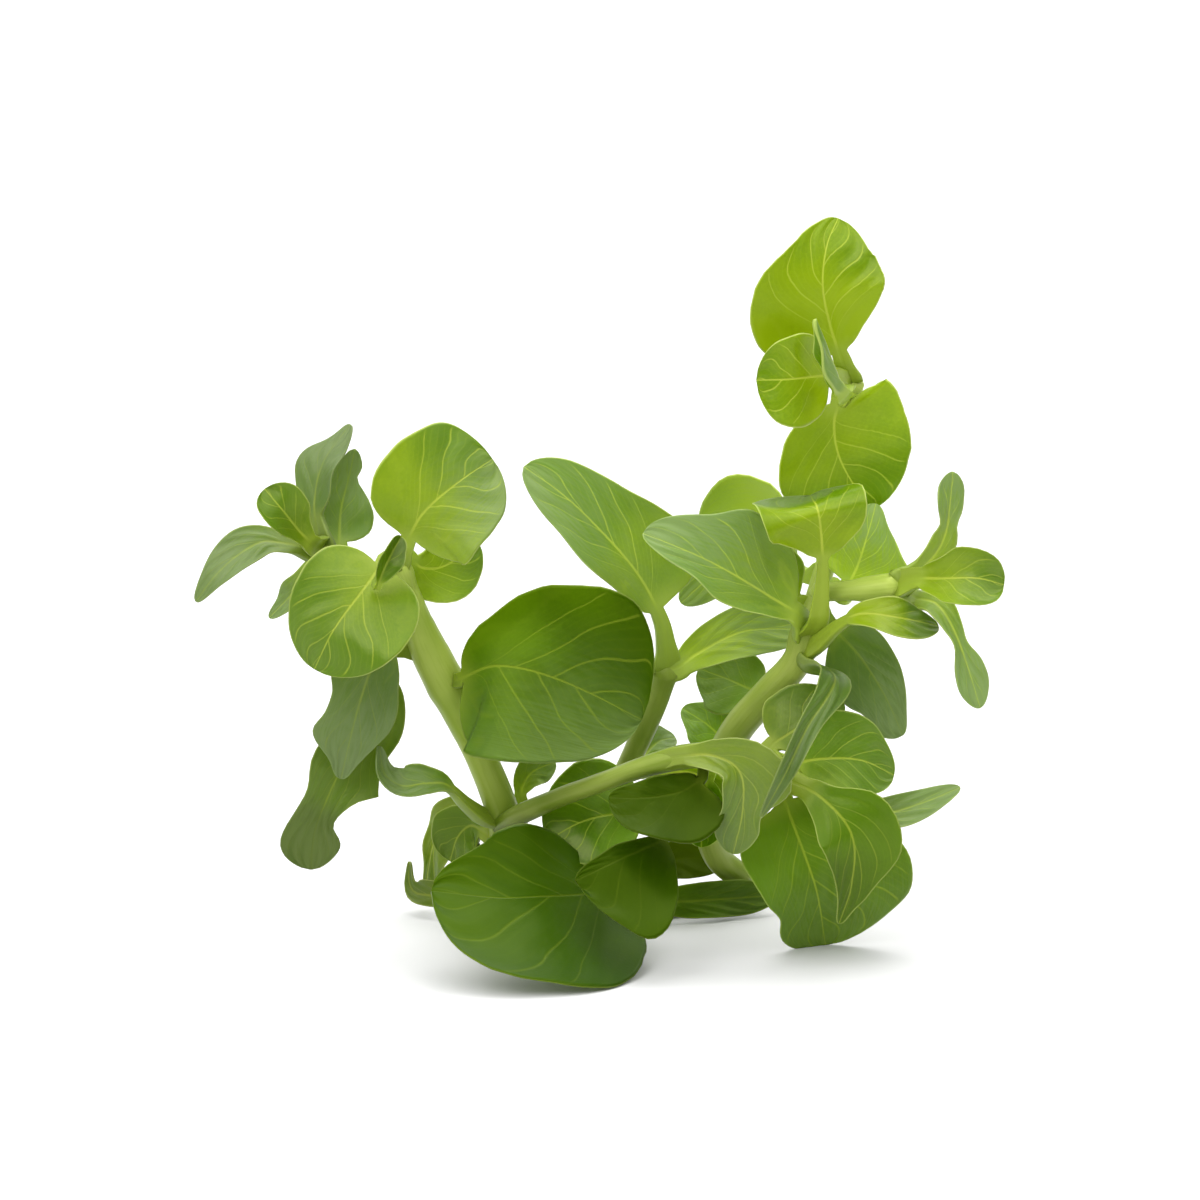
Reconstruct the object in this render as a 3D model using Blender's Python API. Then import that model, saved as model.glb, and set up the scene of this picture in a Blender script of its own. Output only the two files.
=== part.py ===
"""Creeping jenny: a cut clump of five leafy shoots on one short creeping stem."""
import bpy
import bmesh
from math import cos, pi, radians, sin, sqrt
from mathutils import Matrix, Vector
from mathutils.geometry import interpolate_bezier

MM = 0.001

# How the plant is measured
# Places are (across, height, depth) in millimetres: across to the right, depth away from the
# viewer, and the height as it looks to a viewer who sees the plant from a little above level.
VIEW_TILT = radians(13.0)
REST_ACROSS = -0.4
REST_DEPTH = 9.8

# Leaf tissue
BLADE_THICK = 0.5
RIB_THICK = 0.5
PETIOLE_THICK = 1.5
PETIOLE_HALF = 0.9
TIP_HALF = 0.25
LONG_LEAF = 17.0
LONG_ROWS = 9
SHORT_ROWS = 6
COLUMNS = 4
MIDDLE = 0.5
END_ROWS = 0.65
LINE_STEPS = 13

# Stems
STEM_ROUNDING = 2
STEM_STEP = 4.2
RESTING = ("creeping_stem",)
WELD = 0.00001

# Colours of the fresh plant
FRESH_GREEN = (0.18, 0.32, 0.01, 1.0)
GREY_GREEN = (0.21, 0.29, 0.12, 1.0)
DEEP_GREEN = (0.06, 0.15, 0.004, 1.0)
STEM_GREEN = (0.26, 0.34, 0.05, 1.0)
LEAF_ROUGHNESS = 0.38
STEM_ROUGHNESS = 0.34

GREY_LEAVES = (
    "left_drooping_leaf", "left_upright_leaf", "left_rear_leaf", "left_edge_leaf",
    "left_hanging_leaf", "left_cupped_leaf", "centre_pointing_leaf", "centre_small_leaf",
    "right_wide_leaf", "right_hanging_leaf", "right_twisted_leaf", "right_drooping_leaf",
    "right_folded_leaf", "low_spur_leaf", "low_draped_leaf")
DEEP_LEAVES = (
    "centre_round_leaf", "centre_rear_leaf", "centre_low_leaf", "low_large_leaf",
    "foot_front_leaf", "foot_middle_leaf", "foot_dark_leaf", "foot_small_leaf",
    "foot_shaded_leaf", "foot_back_leaf")


# Stems: the middle line as (across, height, depth, radius)
STEMS = {
    "creeping_stem": [
        (-20, 2.6, 3, 2.1),
        (-8, 3.6, 7, 2.3),
        (6, 4.6, 12, 2.3),
        (19, 5.9, 18, 2.1),
    ],
    "left_stem": [
        (-17.4, 5.8, 3, 2.4),
        (-17.5, 11, 0, 2.5),
        (-18.2, 18, -2, 2.4),
        (-20.5, 24.5, -3, 2.3),
        (-25, 34.5, -4, 2.7),
        (-29.3, 43, -5, 2.8),
        (-32.3, 51, -7, 2.0),
        (-33.8, 55.5, -10, 1.6),
    ],
    "left_side_stem": [
        (-35, 51.5, -5, 1.2),
        (-38.5, 54, -5.5, 1.2),
        (-42.5, 56.5, -6.5, 1.2),
        (-45.2, 58, -7.5, 1.1),
    ],
    "centre_stem": [
        (-10.5, 7.6, 6, 1.7),
        (-6, 13, 6, 1.7),
        (-1.5, 21.5, 5, 1.6),
        (2, 29, 3, 1.6),
        (4.9, 36, 1, 1.8),
        (6, 39.8, 0, 1.7),
    ],
    "right_stem": [
        (17, 8.7, 15, 2.1),
        (14, 11.5, 12.5, 2.1),
        (12.3, 16, 9, 2.1),
        (12.5, 22, 5, 2.2),
        (16.5, 30.5, 0, 2.4),
        (22, 37, -4, 2.4),
        (25.6, 41.2, -6, 2.3),
        (26.9, 45.5, -6, 2.2),
    ],
    "right_side_stem": [
        (30.6, 51.5, -7.5, 1.4),
        (34, 51.7, -8.5, 1.5),
        (37, 51.9, -9, 2.0),
        (41, 52.3, -10, 2.1),
    ],
    "top_stem": [
        (28, 49, -2.5, 1.6),
        (30, 56, 2, 1.5),
        (32.2, 66, 4.5, 1.4),
        (33.3, 76, 2.5, 1.4),
        (33.5, 82.5, -1, 1.5),
    ],
    "low_stem": [
        (-14.5, 13, -4.6, 1.6),
        (-14.2, 17.5, -8.3, 1.6),
        (-9.5, 20.8, -12.3, 1.5),
        (-3.5, 23.2, -15, 1.5),
        (4, 25.9, -17, 1.6),
        (10, 27.2, -17.5, 1.9),
        (16.5, 27, -17, 2),
        (21.5, 25.5, -16, 2),
    ],
}

# Leaves: the spine runs from the foot of the petiole to the tip, as (across, height, depth).
# left, right: flat half widths of the blade at even steps, as seen on its upper side, tip up
# face: where the upper side looks at the middle of the leaf; bare: share that is petiole
# lobe: how far each half reaches back past the foot of the blade
# roll: how far each half curls up towards its margin, in radians; fold: the V at the midrib
# twist: turn of the blade from foot to tip in degrees; wave: size, count, start of the margin
LEAVES = {
    "left_round_leaf": dict(
        spine=[(-35.6, 56.2, -12.5), (-39, 51.5, -17.5), (-43, 46, -20), (-46, 40, -19)],
        left=(9.5, 10.6, 8.6), right=(8.6, 8.8, 6.6), lobe=(1, 4.2), face=(-0.2, -1, 0.3)),
    "left_top_leaf": dict(
        spine=[(-32.6, 58.3, -11.5), (-30, 63, -12.5), (-25, 67.5, -10), (-19.7, 71.2, -5)],
        left=(9, 10.2, 9.8, 8.2), right=(7.6, 8.6, 8.8, 7.2), lobe=(0, 2), face=(0.1, -1, 0.2),
        roll=(0.1, 0.4)),
    "left_under_leaf": dict(
        spine=[(-32.2, 56.8, -4.2), (-30, 55, -3.4), (-26.8, 54.4, -3), (-21.8, 57.4, -2.5)],
        left=(3.4, 5, 5), right=(3, 4.2, 4.2), face=(0.1, -0.95, 0.4)),
    "left_bud_leaf": dict(
        spine=[(-36.6, 52.4, -19.4), (-35.3, 55.4, -19.8), (-34.2, 57.6, -19),
               (-33.1, 59.6, -17.2)],
        left=(1.9, 2.4, 1.9), right=(1.9, 2.4, 1.9), face=(0.4, -0.9, 0.1),
        roll=(0.5, 0.5), fold=0.4),
    "left_drooping_leaf": dict(
        spine=[(-47.3, 57.6, -9.5), (-50.3, 58.6, -11), (-53.6, 59, -12), (-57, 57.2, -13),
               (-60.6, 54, -14), (-63.6, 50, -14)],
        left=(1.9, 2.8, 2.8, 1.7), right=(2.2, 3.4, 3.3, 2), face=(-0.3, -0.8, 0.6),
        bare=0.08),
    "left_spoon_leaf": dict(
        spine=[(-46.9, 58.8, -11.6), (-48.8, 61.2, -13.4), (-51.2, 64.2, -15), (-53.3, 66.7, -14)],
        left=(2.2, 3.6, 4.2), right=(2.4, 3.8, 4.2), face=(0.3, -0.9, 0.3), bare=0.05,
        roll=(0.9, 0.9)),
    "left_upright_leaf": dict(
        spine=[(-45.3, 60, -7), (-46.2, 65, -5), (-45, 70.5, -3), (-40.9, 76.4, 0)],
        left=(3.6, 4.6, 2.2), right=(3.5, 3.5, 3), face=(-0.8, -0.8, 0), bare=0.15),
    "left_rear_leaf": dict(
        spine=[(-42.6, 57.8, -3), (-42.3, 63.5, -1), (-41, 69, 0.5), (-40.2, 72.7, 1)],
        left=(4, 4.5, 4.4, 3.4, 2), right=(4.6, 5, 3.9, 1.5, 1.6), lobe=(0, 1),
        face=(0.1, -1, 0.1)),
    "left_edge_leaf": dict(
        spine=[(-46.5, 56, -4.5), (-49.5, 51.5, -4), (-53, 47.6, -4)],
        left=(2, 2.6, 1.6), right=(1.5, 2, 1.2), face=(-0.6, -0.8, 0.2)),
    "left_hanging_leaf": dict(
        spine=[(-34.5, 45.5, -8.5), (-37.5, 40.5, -9.5), (-39.4, 35.2, -10), (-41, 29.2, -10.5),
               (-42.3, 23.6, -10)],
        left=(4, 5, 5.8, 5.6, 4, 2.2), right=(4.5, 5.5, 4.4, 4.7, 5.8, 2.8), face=(0, -1, 0.1)),
    "left_curled_leaf": dict(
        spine=[(-35.8, 42, -4), (-36.8, 35.2, -4.5), (-39.4, 28.5, -5.5), (-42.5, 24.6, -6.5),
               (-44.6, 20.2, -7.5), (-46.3, 15.7, -8), (-46.9, 10, -7.5)],
        left=(4, 5, 4.5, 6.8, 3.9, 2.4, 4.2), right=(3, 4, 5.5, 5.2, 3.6, 3.8, 5),
        face=(0.2, -1, 0.1)),
    "left_cupped_leaf": dict(
        spine=[(-21.5, 18.1, -4.7), (-23.5, 19.8, -6), (-26.8, 22.8, -8), (-30, 23, -9),
               (-33.3, 22.7, -9.5), (-35.8, 24.5, -9.5), (-36.6, 28.5, -9)],
        left=(2.2, 3.3, 2.8, 1.6), right=(2.2, 3.3, 2.8, 1.6), face=(0, -0.6, 0.8), bare=0.3,
        roll=(0.6, 0.6)),
    "centre_round_leaf": dict(
        spine=[(-24.6, 38.4, -9), (-19, 40.5, -11.5), (-10, 38.5, -13), (2.5, 32.5, -12)],
        left=(6.6, 11.8, 14, 15, 12), right=(11.4, 14.4, 14.2, 12.2, 8.8), lobe=(0, 2.5),
        face=(0.1, -0.95, 0.35), bare=0.03, roll=(0.3, 0.45)),
    "centre_pointing_leaf": dict(
        spine=[(6.2, 42.5, -0.5), (5.4, 47, -1.5), (2, 54, -4), (-5, 62, -7), (-10, 66.5, -8),
               (-15, 70, -8)],
        left=(3.6, 4.8, 5.6, 5, 4), right=(10.6, 9.4, 7.8, 6.2, 4.8), lobe=(3.5, 2.5),
        face=(0.3, -1, 0.3), bare=0.2),
    "centre_arching_leaf": dict(
        spine=[(8.1, 40.2, 0.5), (11, 42.2, 2), (17, 45.5, 4), (22.5, 46.4, 6), (28, 46, 8)],
        left=(3, 4, 3.6), right=(3, 3.8, 3), face=(0.1, 0.9, 0.4), bare=0.03),
    "centre_rear_leaf": dict(
        spine=[(21, 36, 1), (17.5, 37.5, 5), (14.5, 38.8, 8), (11, 40, 10)],
        left=(5, 6, 4.5), right=(4.5, 5, 4), face=(0, -0.9, 0.4)),
    "centre_low_leaf": dict(
        spine=[(16, 28, 6.5), (12.5, 31.5, 9), (8.6, 34, 11)],
        left=(3.5, 4, 2.5), right=(3.5, 4, 2.5), face=(0, -0.9, 0.4)),
    "centre_small_leaf": dict(
        spine=[(2.5, 26.5, 7), (5, 29, 9.5), (7.6, 29.6, 12)],
        left=(2, 2.5, 2), right=(2, 2.5, 2), face=(0, -0.9, 0.4)),
    "right_wide_leaf": dict(
        spine=[(25.2, 48.3, -9.5), (20, 51.7, -12.5), (13.5, 55.5, -15), (7.5, 58.2, -16.5),
               (2.6, 60.1, -16.5)],
        left=(3, 4.5, 5, 3.5, 2.5), right=(8, 9.4, 9.6, 6.8, 4.8), face=(0.1, -0.85, 0.5),
        bare=0.03),
    "right_curled_leaf": dict(
        spine=[(28.7, 48, -10.5), (29.2, 55, -12.5), (28.9, 60.6, -15), (28, 63.8, -15.6),
               (26.6, 65.2, -11.5), (25, 65.6, -7)],
        left=(4.5, 8.2, 9.2, 9.4, 7.6), right=(4.2, 6.6, 7.6, 6.2, 3.2), face=(0, -1, 0.3),
        bare=0.36, roll=(0.15, 0.15)),
    "right_small_leaf": dict(
        spine=[(25.1, 50.6, -2.3), (24.8, 54, -2.6), (23, 58.4, -3)],
        left=(1.4, 1.8, 1.4), right=(1.6, 2.2, 1.8), face=(0.3, -1, 0.2)),
    "right_pale_leaf": dict(
        spine=[(33, 51.8, -4.5), (34.8, 56, -3.5), (36.5, 61.5, -2), (37.3, 64.6, -1)],
        left=(4.5, 4.8, 3), right=(8.6, 6, 3), face=(-0.2, -1, 0.3)),
    "right_rear_leaf": dict(
        spine=[(26.4, 54, 4.5), (21, 57.5, 9), (14, 54.5, 14), (8.4, 49.8, 18)],
        left=(3, 4, 3.6, 3), right=(13, 11, 5.5, 3), face=(0.1, -1, 0.2)),
    "right_hanging_leaf": dict(
        spine=[(30.2, 46.5, -2.2), (34.5, 42.5, -2.5), (38.5, 36.5, -2), (41.5, 30, -0.5)],
        left=(4.2, 4.7, 4.2, 3.3, 2.2), right=(3.7, 4.9, 5.7, 4.4, 4.2), face=(0.3, -0.9, 0.3)),
    "right_strap_leaf": dict(
        spine=[(28.8, 44, -10.5), (31.5, 46.5, -13), (35, 48.2, -14.5), (41, 47.6, -14.5),
               (46.5, 46.4, -10.5)],
        left=(2.6, 3.2, 2.4), right=(2.8, 3.7, 3), face=(0, -0.7, 0.8), bare=0.3),
    "right_cup_leaf": dict(
        spine=[(43.9, 53.4, -12), (47, 53.5, -15), (52, 53.5, -17), (56, 52.5, -16)],
        left=(3.2, 5.2, 4.8), right=(3.4, 5.5, 5), face=(0, -0.9, 0.5), bare=0.03,
        roll=(0.8, 0.8)),
    "right_twisted_leaf": dict(
        spine=[(43.6, 54.6, -9), (46.2, 57.2, -8.7), (47.6, 60.2, -8), (48.1, 63.6, -7.3),
               (48.6, 69.3, -6)],
        left=(1.7, 1.8, 1.2, 2.1, 2.1), right=(1.7, 2.1, 1.3, 2.1, 2.1), face=(0.3, -0.9, 0),
        bare=0.03),
    "right_drooping_leaf": dict(
        spine=[(43.3, 50.2, -8.6), (46.3, 49.6, -10.5), (48.7, 46, -12.2), (50.6, 41, -13),
               (52.7, 34.2, -12.5)],
        left=(1.7, 1.5, 1.1, 2.4, 2.6), right=(1.7, 1.4, 1, 2.3, 2.5), face=(0.4, -0.9, 0.2),
        bare=0.03),
    "top_upright_leaf": dict(
        spine=[(32.2, 85.7, -3.5), (30.4, 90.7, -5), (29.2, 96.7, -5), (29.8, 102.7, -3.5),
               (31.5, 106.8, -1)],
        left=(10.6, 11.5, 10.2, 6.4, 3.6), right=(5.2, 8.2, 9.4, 8.6, 6.5), face=(0, -1, 0.1)),
    "top_hanging_leaf": dict(
        spine=[(31.9, 80.4, -3.8), (31, 76.5, -3.8), (32, 71, -2.4), (36.5, 63.5, 1)],
        left=(10, 11.5, 9), right=(8, 10, 8), lobe=(16.5, 0), face=(0, -1, 0.1)),
    "top_round_leaf": dict(
        spine=[(30.6, 83.6, -7), (28.3, 83.3, -10), (24, 82.8, -13), (19.3, 82.7, -13)],
        left=(6.2, 7.2, 6.4), right=(5.8, 6.8, 5.8), face=(0, -1, 0.1)),
    "top_bud_leaf": dict(
        spine=[(31.6, 80.4, -10.5), (30.2, 84, -14), (28.9, 88, -16), (27.7, 91.5, -16.5)],
        left=(1.8, 2, 1.4), right=(1.8, 2, 1.4), face=(-1, -0.4, 0), fold=0.5),
    "low_draped_leaf": dict(
        spine=[(12.4, 27.3, -21.4), (16.2, 27.6, -22), (18.4, 24, -22.4), (17.6, 18.5, -21.8),
               (16, 12.6, -20.6)],
        left=(2.6, 5.6, 4, 3.3, 3.2), right=(2.4, 3.4, 4.3, 3.9, 3.4), face=(-0.1, -1, 0.2),
        bare=0.03),
    "right_folded_leaf": dict(
        spine=[(28.2, 41.4, -10.8), (31, 40, -14), (30.5, 37, -18.4), (27, 31.6, -23.4),
               (23.6, 24.6, -27), (20, 18.2, -28)],
        left=(2.3, 1.8, 1.6, 1.3), right=(2.3, 1.8, 1.6, 1.3), face=(0.5, -0.85, 0.2), bare=0.03),
    "low_wide_leaf": dict(
        spine=[(24.5, 25.8, -16.2), (29, 26.7, -16), (35, 26.5, -14), (40, 24.2, -11)],
        left=(4.8, 5.4, 4), right=(5, 6, 5), face=(0, -0.9, 0.4)),
    "low_front_leaf": dict(
        spine=[(23.9, 23.6, -19), (29, 21, -22), (33.5, 15.5, -24), (33.5, 8, -23),
               (31.7, 2.2, -21)],
        left=(3, 6.8, 7, 4.2, 2), right=(3.2, 5, 4.6, 3, 1.6), face=(0.1, -1, 0.2), bare=0.12),
    "low_large_leaf": dict(
        spine=[(23, 22.2, -13), (25.5, 15.5, -15), (28.5, 7, -13), (30, -1.5, -6)],
        left=(7.4, 12.6, 15, 13.6, 9.4), right=(6.6, 8.6, 8.6, 6.6, 6.6), face=(0, -0.95, 0.3)),
    "low_spur_leaf": dict(
        spine=[(26, 23.3, -9.5), (31, 20.5, -9), (38, 18.5, -8), (44.3, 20, -6), (50, 22.3, -5)],
        left=(2, 2.4, 2.2, 1.8), right=(2.4, 2.8, 2.6, 1.8), face=(0, -0.8, 0.6), bare=0.3),
    "low_rear_leaf": dict(
        spine=[(22, 28.8, -12.2), (25, 30.9, -11.6), (28.5, 33.5, -10.6), (32.5, 35.2, -9.6)],
        left=(4.5, 5, 3.6), right=(3.6, 4.4, 3.6), face=(0, -0.8, 0.6), bare=0.03),
    "foot_front_leaf": dict(
        spine=[(0.5, 5.2, -5), (-4, 6.5, -13.5), (-11.5, 6.4, -20), (-19, 6.2, -24),
               (-28.7, 7.2, -25)],
        left=(12.4, 17.6, 19, 17, 12.6), right=(7, 9.5, 10, 9, 7), face=(-0.1, -0.75, 0.66),
        bare=0.1),
    "foot_middle_leaf": dict(
        spine=[(10.4, 17.8, 4), (9.8, 17.2, -5), (8.2, 15.6, -13), (4.8, 14.2, -18.5),
               (0, 12.2, -22), (-7.4, 8.7, -24.5)],
        left=(6, 10.5, 13.5, 13.8, 9.5), right=(1.5, 2, 2.4, 2, 1.6), face=(0, -0.9, 0.4),
        bare=0.58),
    "foot_upper_leaf": dict(
        spine=[(3.5, 17.8, -4), (-1, 18.4, -6), (-5.5, 17.4, -7.4), (-9.2, 15, -8)],
        left=(6, 6.8, 5.8), right=(8, 8.6, 6), face=(0, -0.85, 0.5)),
    "foot_dark_leaf": dict(
        spine=[(12, 22.4, -18.8), (8, 21.6, -20), (2.5, 21, -21.5), (-2.5, 21, -21)],
        left=(7, 6.8, 5), right=(2.6, 2.8, 2.4), lobe=(1.5, 0), face=(0, -0.8, 0.6)),
    "foot_small_leaf": dict(
        spine=[(12.3, 24.3, -13.5), (11.6, 20, -15), (11.3, 13.5, -16.5)],
        left=(3, 3.5, 3.4), right=(3, 3.5, 3.2), face=(0.2, -1, 0.3)),
    "foot_bright_leaf": dict(
        spine=[(5, 24.6, -10.5), (11, 24.2, -10.5), (14.2, 20, -11), (14.2, 14, -11.5)],
        left=(1.6, 2, 2), right=(1.6, 2, 2), face=(0, -1, 0.2)),
    "foot_shaded_leaf": dict(
        spine=[(1.5, 8.5, 15.5), (5, 10.6, 18.5), (10, 11.2, 20.5), (15.5, 10.6, 21.5)],
        left=(2.6, 3.2, 2.8), right=(2.6, 3.2, 2.8), face=(0.2, -0.9, 0.3)),
    "foot_back_leaf": dict(
        spine=[(2, 4.7, 5.2), (9, 4.9, 7.2), (16, 5.3, 9.6), (23.4, 5.8, 12.6)],
        left=(2.4, 2.8, 2.6), right=(2.4, 2.8, 2.6), face=(0.3, -0.9, 0.3)),
    "foot_brown_leaf": dict(
        spine=[(-21.6, 17.8, 4.6), (-25, 19.6, 7.6), (-28, 19.2, 10.6), (-29.2, 15.4, 12.8),
               (-29.6, 10.5, 14.4), (-29.9, 5.6, 15.6)],
        left=(2, 2.8, 2, 1.6), right=(2, 2.8, 2, 1.6), face=(-0.4, -0.8, 0.4)),
    "foot_hooked_leaf": dict(
        spine=[(-23.8, 5.8, 5), (-29, 5.8, 9.6), (-32.2, 6.6, 12.6), (-32.8, 10.8, 14)],
        left=(1.7, 1.8, 0.9), right=(1.7, 1.8, 0.9), face=(0, -1, 0.3)),
    "foot_left_leaf": dict(
        spine=[(-20.8, 14.8, 1.5), (-23.4, 16.4, 3), (-25.8, 15, 4), (-27.1, 11.6, 5)],
        left=(3, 3.4, 2.8), right=(3, 3.6, 3), face=(-0.2, -0.9, 0.4)),
    "foot_rim_leaf": dict(
        spine=[(-15.4, 18.8, 3), (-15.6, 21.6, 3.4), (-14, 24.4, 4), (-10.4, 26, 4.6)],
        left=(1.8, 2.5, 2.4), right=(1.8, 2.5, 2.4), face=(0.2, -0.8, 0.6), bare=0.25,
        roll=(0.5, 0.5)),
}


def place(across, height, depth):
    """World place of a point whose height is given as it looks from VIEW_TILT above level."""
    level = (height - depth * sin(VIEW_TILT)) / cos(VIEW_TILT)
    return Vector((across - REST_ACROSS, depth - REST_DEPTH, level)) * MM


def smooth_line(points):
    """Evenly stepped places on a smooth curve through the points."""
    ends = [points[0] * 2 - points[1]] + points + [points[-1] * 2 - points[-2]]
    line = [points[0]]
    for before, start, end, after in zip(ends, ends[1:], ends[2:], ends[3:]):
        reach = (end - start).length / 3
        leave = (end - before).normalized() * reach
        arrive = (after - start).normalized() * reach
        line += interpolate_bezier(start, start + leave, end - arrive, end, LINE_STEPS)[1:]
    return line


def length_of(line):
    return sum((b - a).length for a, b in zip(line, line[1:]))


def point_at(line, share):
    """Place and direction at a share of the line's length."""
    left = share * length_of(line)
    for a, b in zip(line, line[1:]):
        step = (b - a).length
        if left <= step or b is line[-1]:
            return a + (b - a) * (left / step), (b - a).normalized()
        left -= step


def outline(along, widths):
    """Flat half width at a share of the blade, round at both ends, through even widths."""
    squares = [-widths[0] ** 2, 0.0] + [width ** 2 for width in widths] + [0.0, -widths[-1] ** 2]
    place_on = min(max(along, 0.0), 1.0) * (len(widths) + 1)
    step = min(int(place_on), len(widths))
    share = place_on - step
    before, start, end, after = squares[step:step + 4]
    rise = (end - before) / 2
    fall = (after - start) / 2
    bend = 2 * (start - end) + rise + fall
    value = ((bend * share - bend - rise + end - start) * share + rise) * share + start
    return sqrt(max(value, 0.0))


def curl(distance, half, roll, fold):
    """Sideways reach and lift of a point on a half blade that rolls towards its margin."""
    if abs(roll) < 0.01:
        side, lift = distance, 0.0
    else:
        radius = half / roll
        side = radius * sin(distance / radius)
        lift = radius * (1 - cos(distance / radius))
    return side * cos(fold) - lift * sin(fold), side * sin(fold) + lift * cos(fold)


def leaf_mesh(spine, left, right, face, bare=0.08, lobe=(0, 0), roll=(0.25, 0.25),
              fold=0.0, twist=0.0, wave=(0.3, 2.0, 0.0)):
    """A leaf as a closed shell: its upper side, and its lower side at the blade's thickness."""
    line = smooth_line([place(*spot) for spot in spine])
    length = length_of(line)
    rows = LONG_ROWS if length > LONG_LEAF * MM else SHORT_ROWS
    frames = leaf_frames(line, rows, Vector(face), twist)
    mesh = bmesh.new()
    bmesh.ops.create_grid(mesh, x_segments=rows, y_segments=COLUMNS, size=0.5)
    bmesh.ops.triangulate(mesh, faces=list(mesh.faces))
    made = bmesh.ops.extrude_face_region(mesh, geom=list(mesh.faces), use_keep_orig=True)
    lower = [item for item in made["geom"] if isinstance(item, bmesh.types.BMVert)]
    bmesh.ops.translate(mesh, verts=lower, vec=(0, 0, -1))
    widest = (max(left), max(right))
    size, count, start = wave
    for vert in mesh.verts:
        row = round((vert.co.x + 0.5) * rows)
        across = vert.co.y * 2
        below = round(-vert.co.z)
        spot, along, up, out, share = frames[row]
        side = 1 if across > 0 else 0
        blade = (share - bare) / (1 - bare)
        flat = outline(blade, right if side else left)
        stalk = PETIOLE_HALF * (1 - share) ** 2 + TIP_HALF
        wide = sqrt(flat ** 2 + stalk ** 2)
        reach, lift = curl(abs(across) * wide, wide, roll[side], fold)
        ripple = sin(2 * pi * count * share + start + side * pi / 2)
        lift += size * across ** 2 * ripple * flat / widest[side]
        back = lobe[side] * abs(across) * flat / widest[side] * (1 - blade) ** 3
        sideways = out * reach * (1 if side else -1)
        vert.co = spot + (sideways + up * lift - along * back) * MM
        vert.co.z = max(vert.co.z, BLADE_THICK * MM * up.z)
        stalky = max(0.0, 1 - share / (bare + 0.12))
        rib = RIB_THICK * (1 - share) * (1 - abs(across)) ** 2
        vert.co -= up * MM * below * (BLADE_THICK + rib + (PETIOLE_THICK - BLADE_THICK) * stalky)
        vert.co.z = max(vert.co.z, 0.0)
    bmesh.ops.recalc_face_normals(mesh, faces=list(mesh.faces))
    if mesh.calc_volume(signed=True) < 0:
        bmesh.ops.reverse_faces(mesh, faces=list(mesh.faces))
    return mesh


def leaf_frames(line, rows, face, twist):
    """Place, direction, upward and rightward vectors and share of the length for each row."""
    shares = []
    for row in range(rows + 1):
        even = row / rows
        eased = (1 - cos(pi * even)) / 2
        shares.append(even * (1 - END_ROWS) + eased * END_ROWS)
    spots = [point_at(line, share) for share in shares]
    middle = rows // 2
    ups = [None] * (rows + 1)
    ups[middle] = (face - face.project(spots[middle][1])).normalized()
    for row in range(middle + 1, rows + 1):
        ups[row] = (ups[row - 1] - ups[row - 1].project(spots[row][1])).normalized()
    for row in range(middle - 1, -1, -1):
        ups[row] = (ups[row + 1] - ups[row + 1].project(spots[row][1])).normalized()
    frames = []
    for share, (spot, along), up in zip(shares, spots, ups):
        up = Matrix.Rotation(radians(twist) * (share - MIDDLE), 3, along) @ up
        frames.append((spot, along, up, along.cross(up), share))
    return frames


def add_leaf(name, shape, home, surface):
    mesh = leaf_mesh(**shape)
    data = bpy.data.meshes.new(name)
    mesh.to_mesh(data)
    mesh.free()
    data.shade_smooth()
    data.materials.append(surface)
    home.objects.link(bpy.data.objects.new(name, data))


def add_stem(name, points, home, surface):
    """A stem as a tube of varying radius with filled ends."""
    line = smooth_line([place(*point[:3]) for point in points])
    radii = smooth_line([Vector((point[3], index, 0)) for index, point in enumerate(points)])
    count = max(3, round(length_of(line) / (STEM_STEP * MM)))
    curve = bpy.data.curves.new(name, "CURVE")
    curve.dimensions = "3D"
    curve.bevel_depth = MM
    curve.bevel_resolution = STEM_ROUNDING
    curve.use_fill_caps = True
    spline = curve.splines.new("POLY")
    spline.points.add(count)
    for index, point in enumerate(spline.points):
        share = index / count
        point.co = (*point_at(line, share)[0], 1)
        point.radius = radii[round(share * (len(radii) - 1))].x
    curve.materials.append(surface)
    home.objects.link(bpy.data.objects.new(name, curve))


def rest_flat(name, home):
    """Turn a stem into a solid and cut it level where it rests."""
    stem = bpy.data.objects[name]
    whole = stem.evaluated_get(bpy.context.evaluated_depsgraph_get())
    data = bpy.data.meshes.new_from_object(whole)
    data.name = name
    mesh = bmesh.new()
    mesh.from_mesh(data)
    bmesh.ops.remove_doubles(mesh, verts=list(mesh.verts), dist=WELD)
    cut = bmesh.ops.bisect_plane(
        mesh, geom=list(mesh.verts) + list(mesh.edges) + list(mesh.faces),
        plane_co=(0, 0, 0), plane_no=(0, 0, -1), clear_outer=True)
    edges = [item for item in cut["geom_cut"] if isinstance(item, bmesh.types.BMEdge)]
    bmesh.ops.holes_fill(mesh, edges=edges)
    bmesh.ops.recalc_face_normals(mesh, faces=list(mesh.faces))
    mesh.to_mesh(data)
    mesh.free()
    solid = bpy.data.objects.new(name, data)
    solid.matrix_world = stem.matrix_world
    bpy.data.objects.remove(stem)
    solid.name = name
    home.objects.link(solid)


def leaf_colour(name):
    if name in GREY_LEAVES:
        return GREY_GREEN
    if name in DEEP_LEAVES:
        return DEEP_GREEN
    return FRESH_GREEN


def surface_named(name, colour, roughness):
    surface = bpy.data.materials.new(name)
    surface.use_nodes = True
    shader = surface.node_tree.nodes["Principled BSDF"]
    shader.inputs["Base Color"].default_value = colour
    shader.inputs["Roughness"].default_value = roughness
    shader.inputs["Metallic"].default_value = 0.0
    surface.diffuse_color = colour
    return surface


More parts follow.
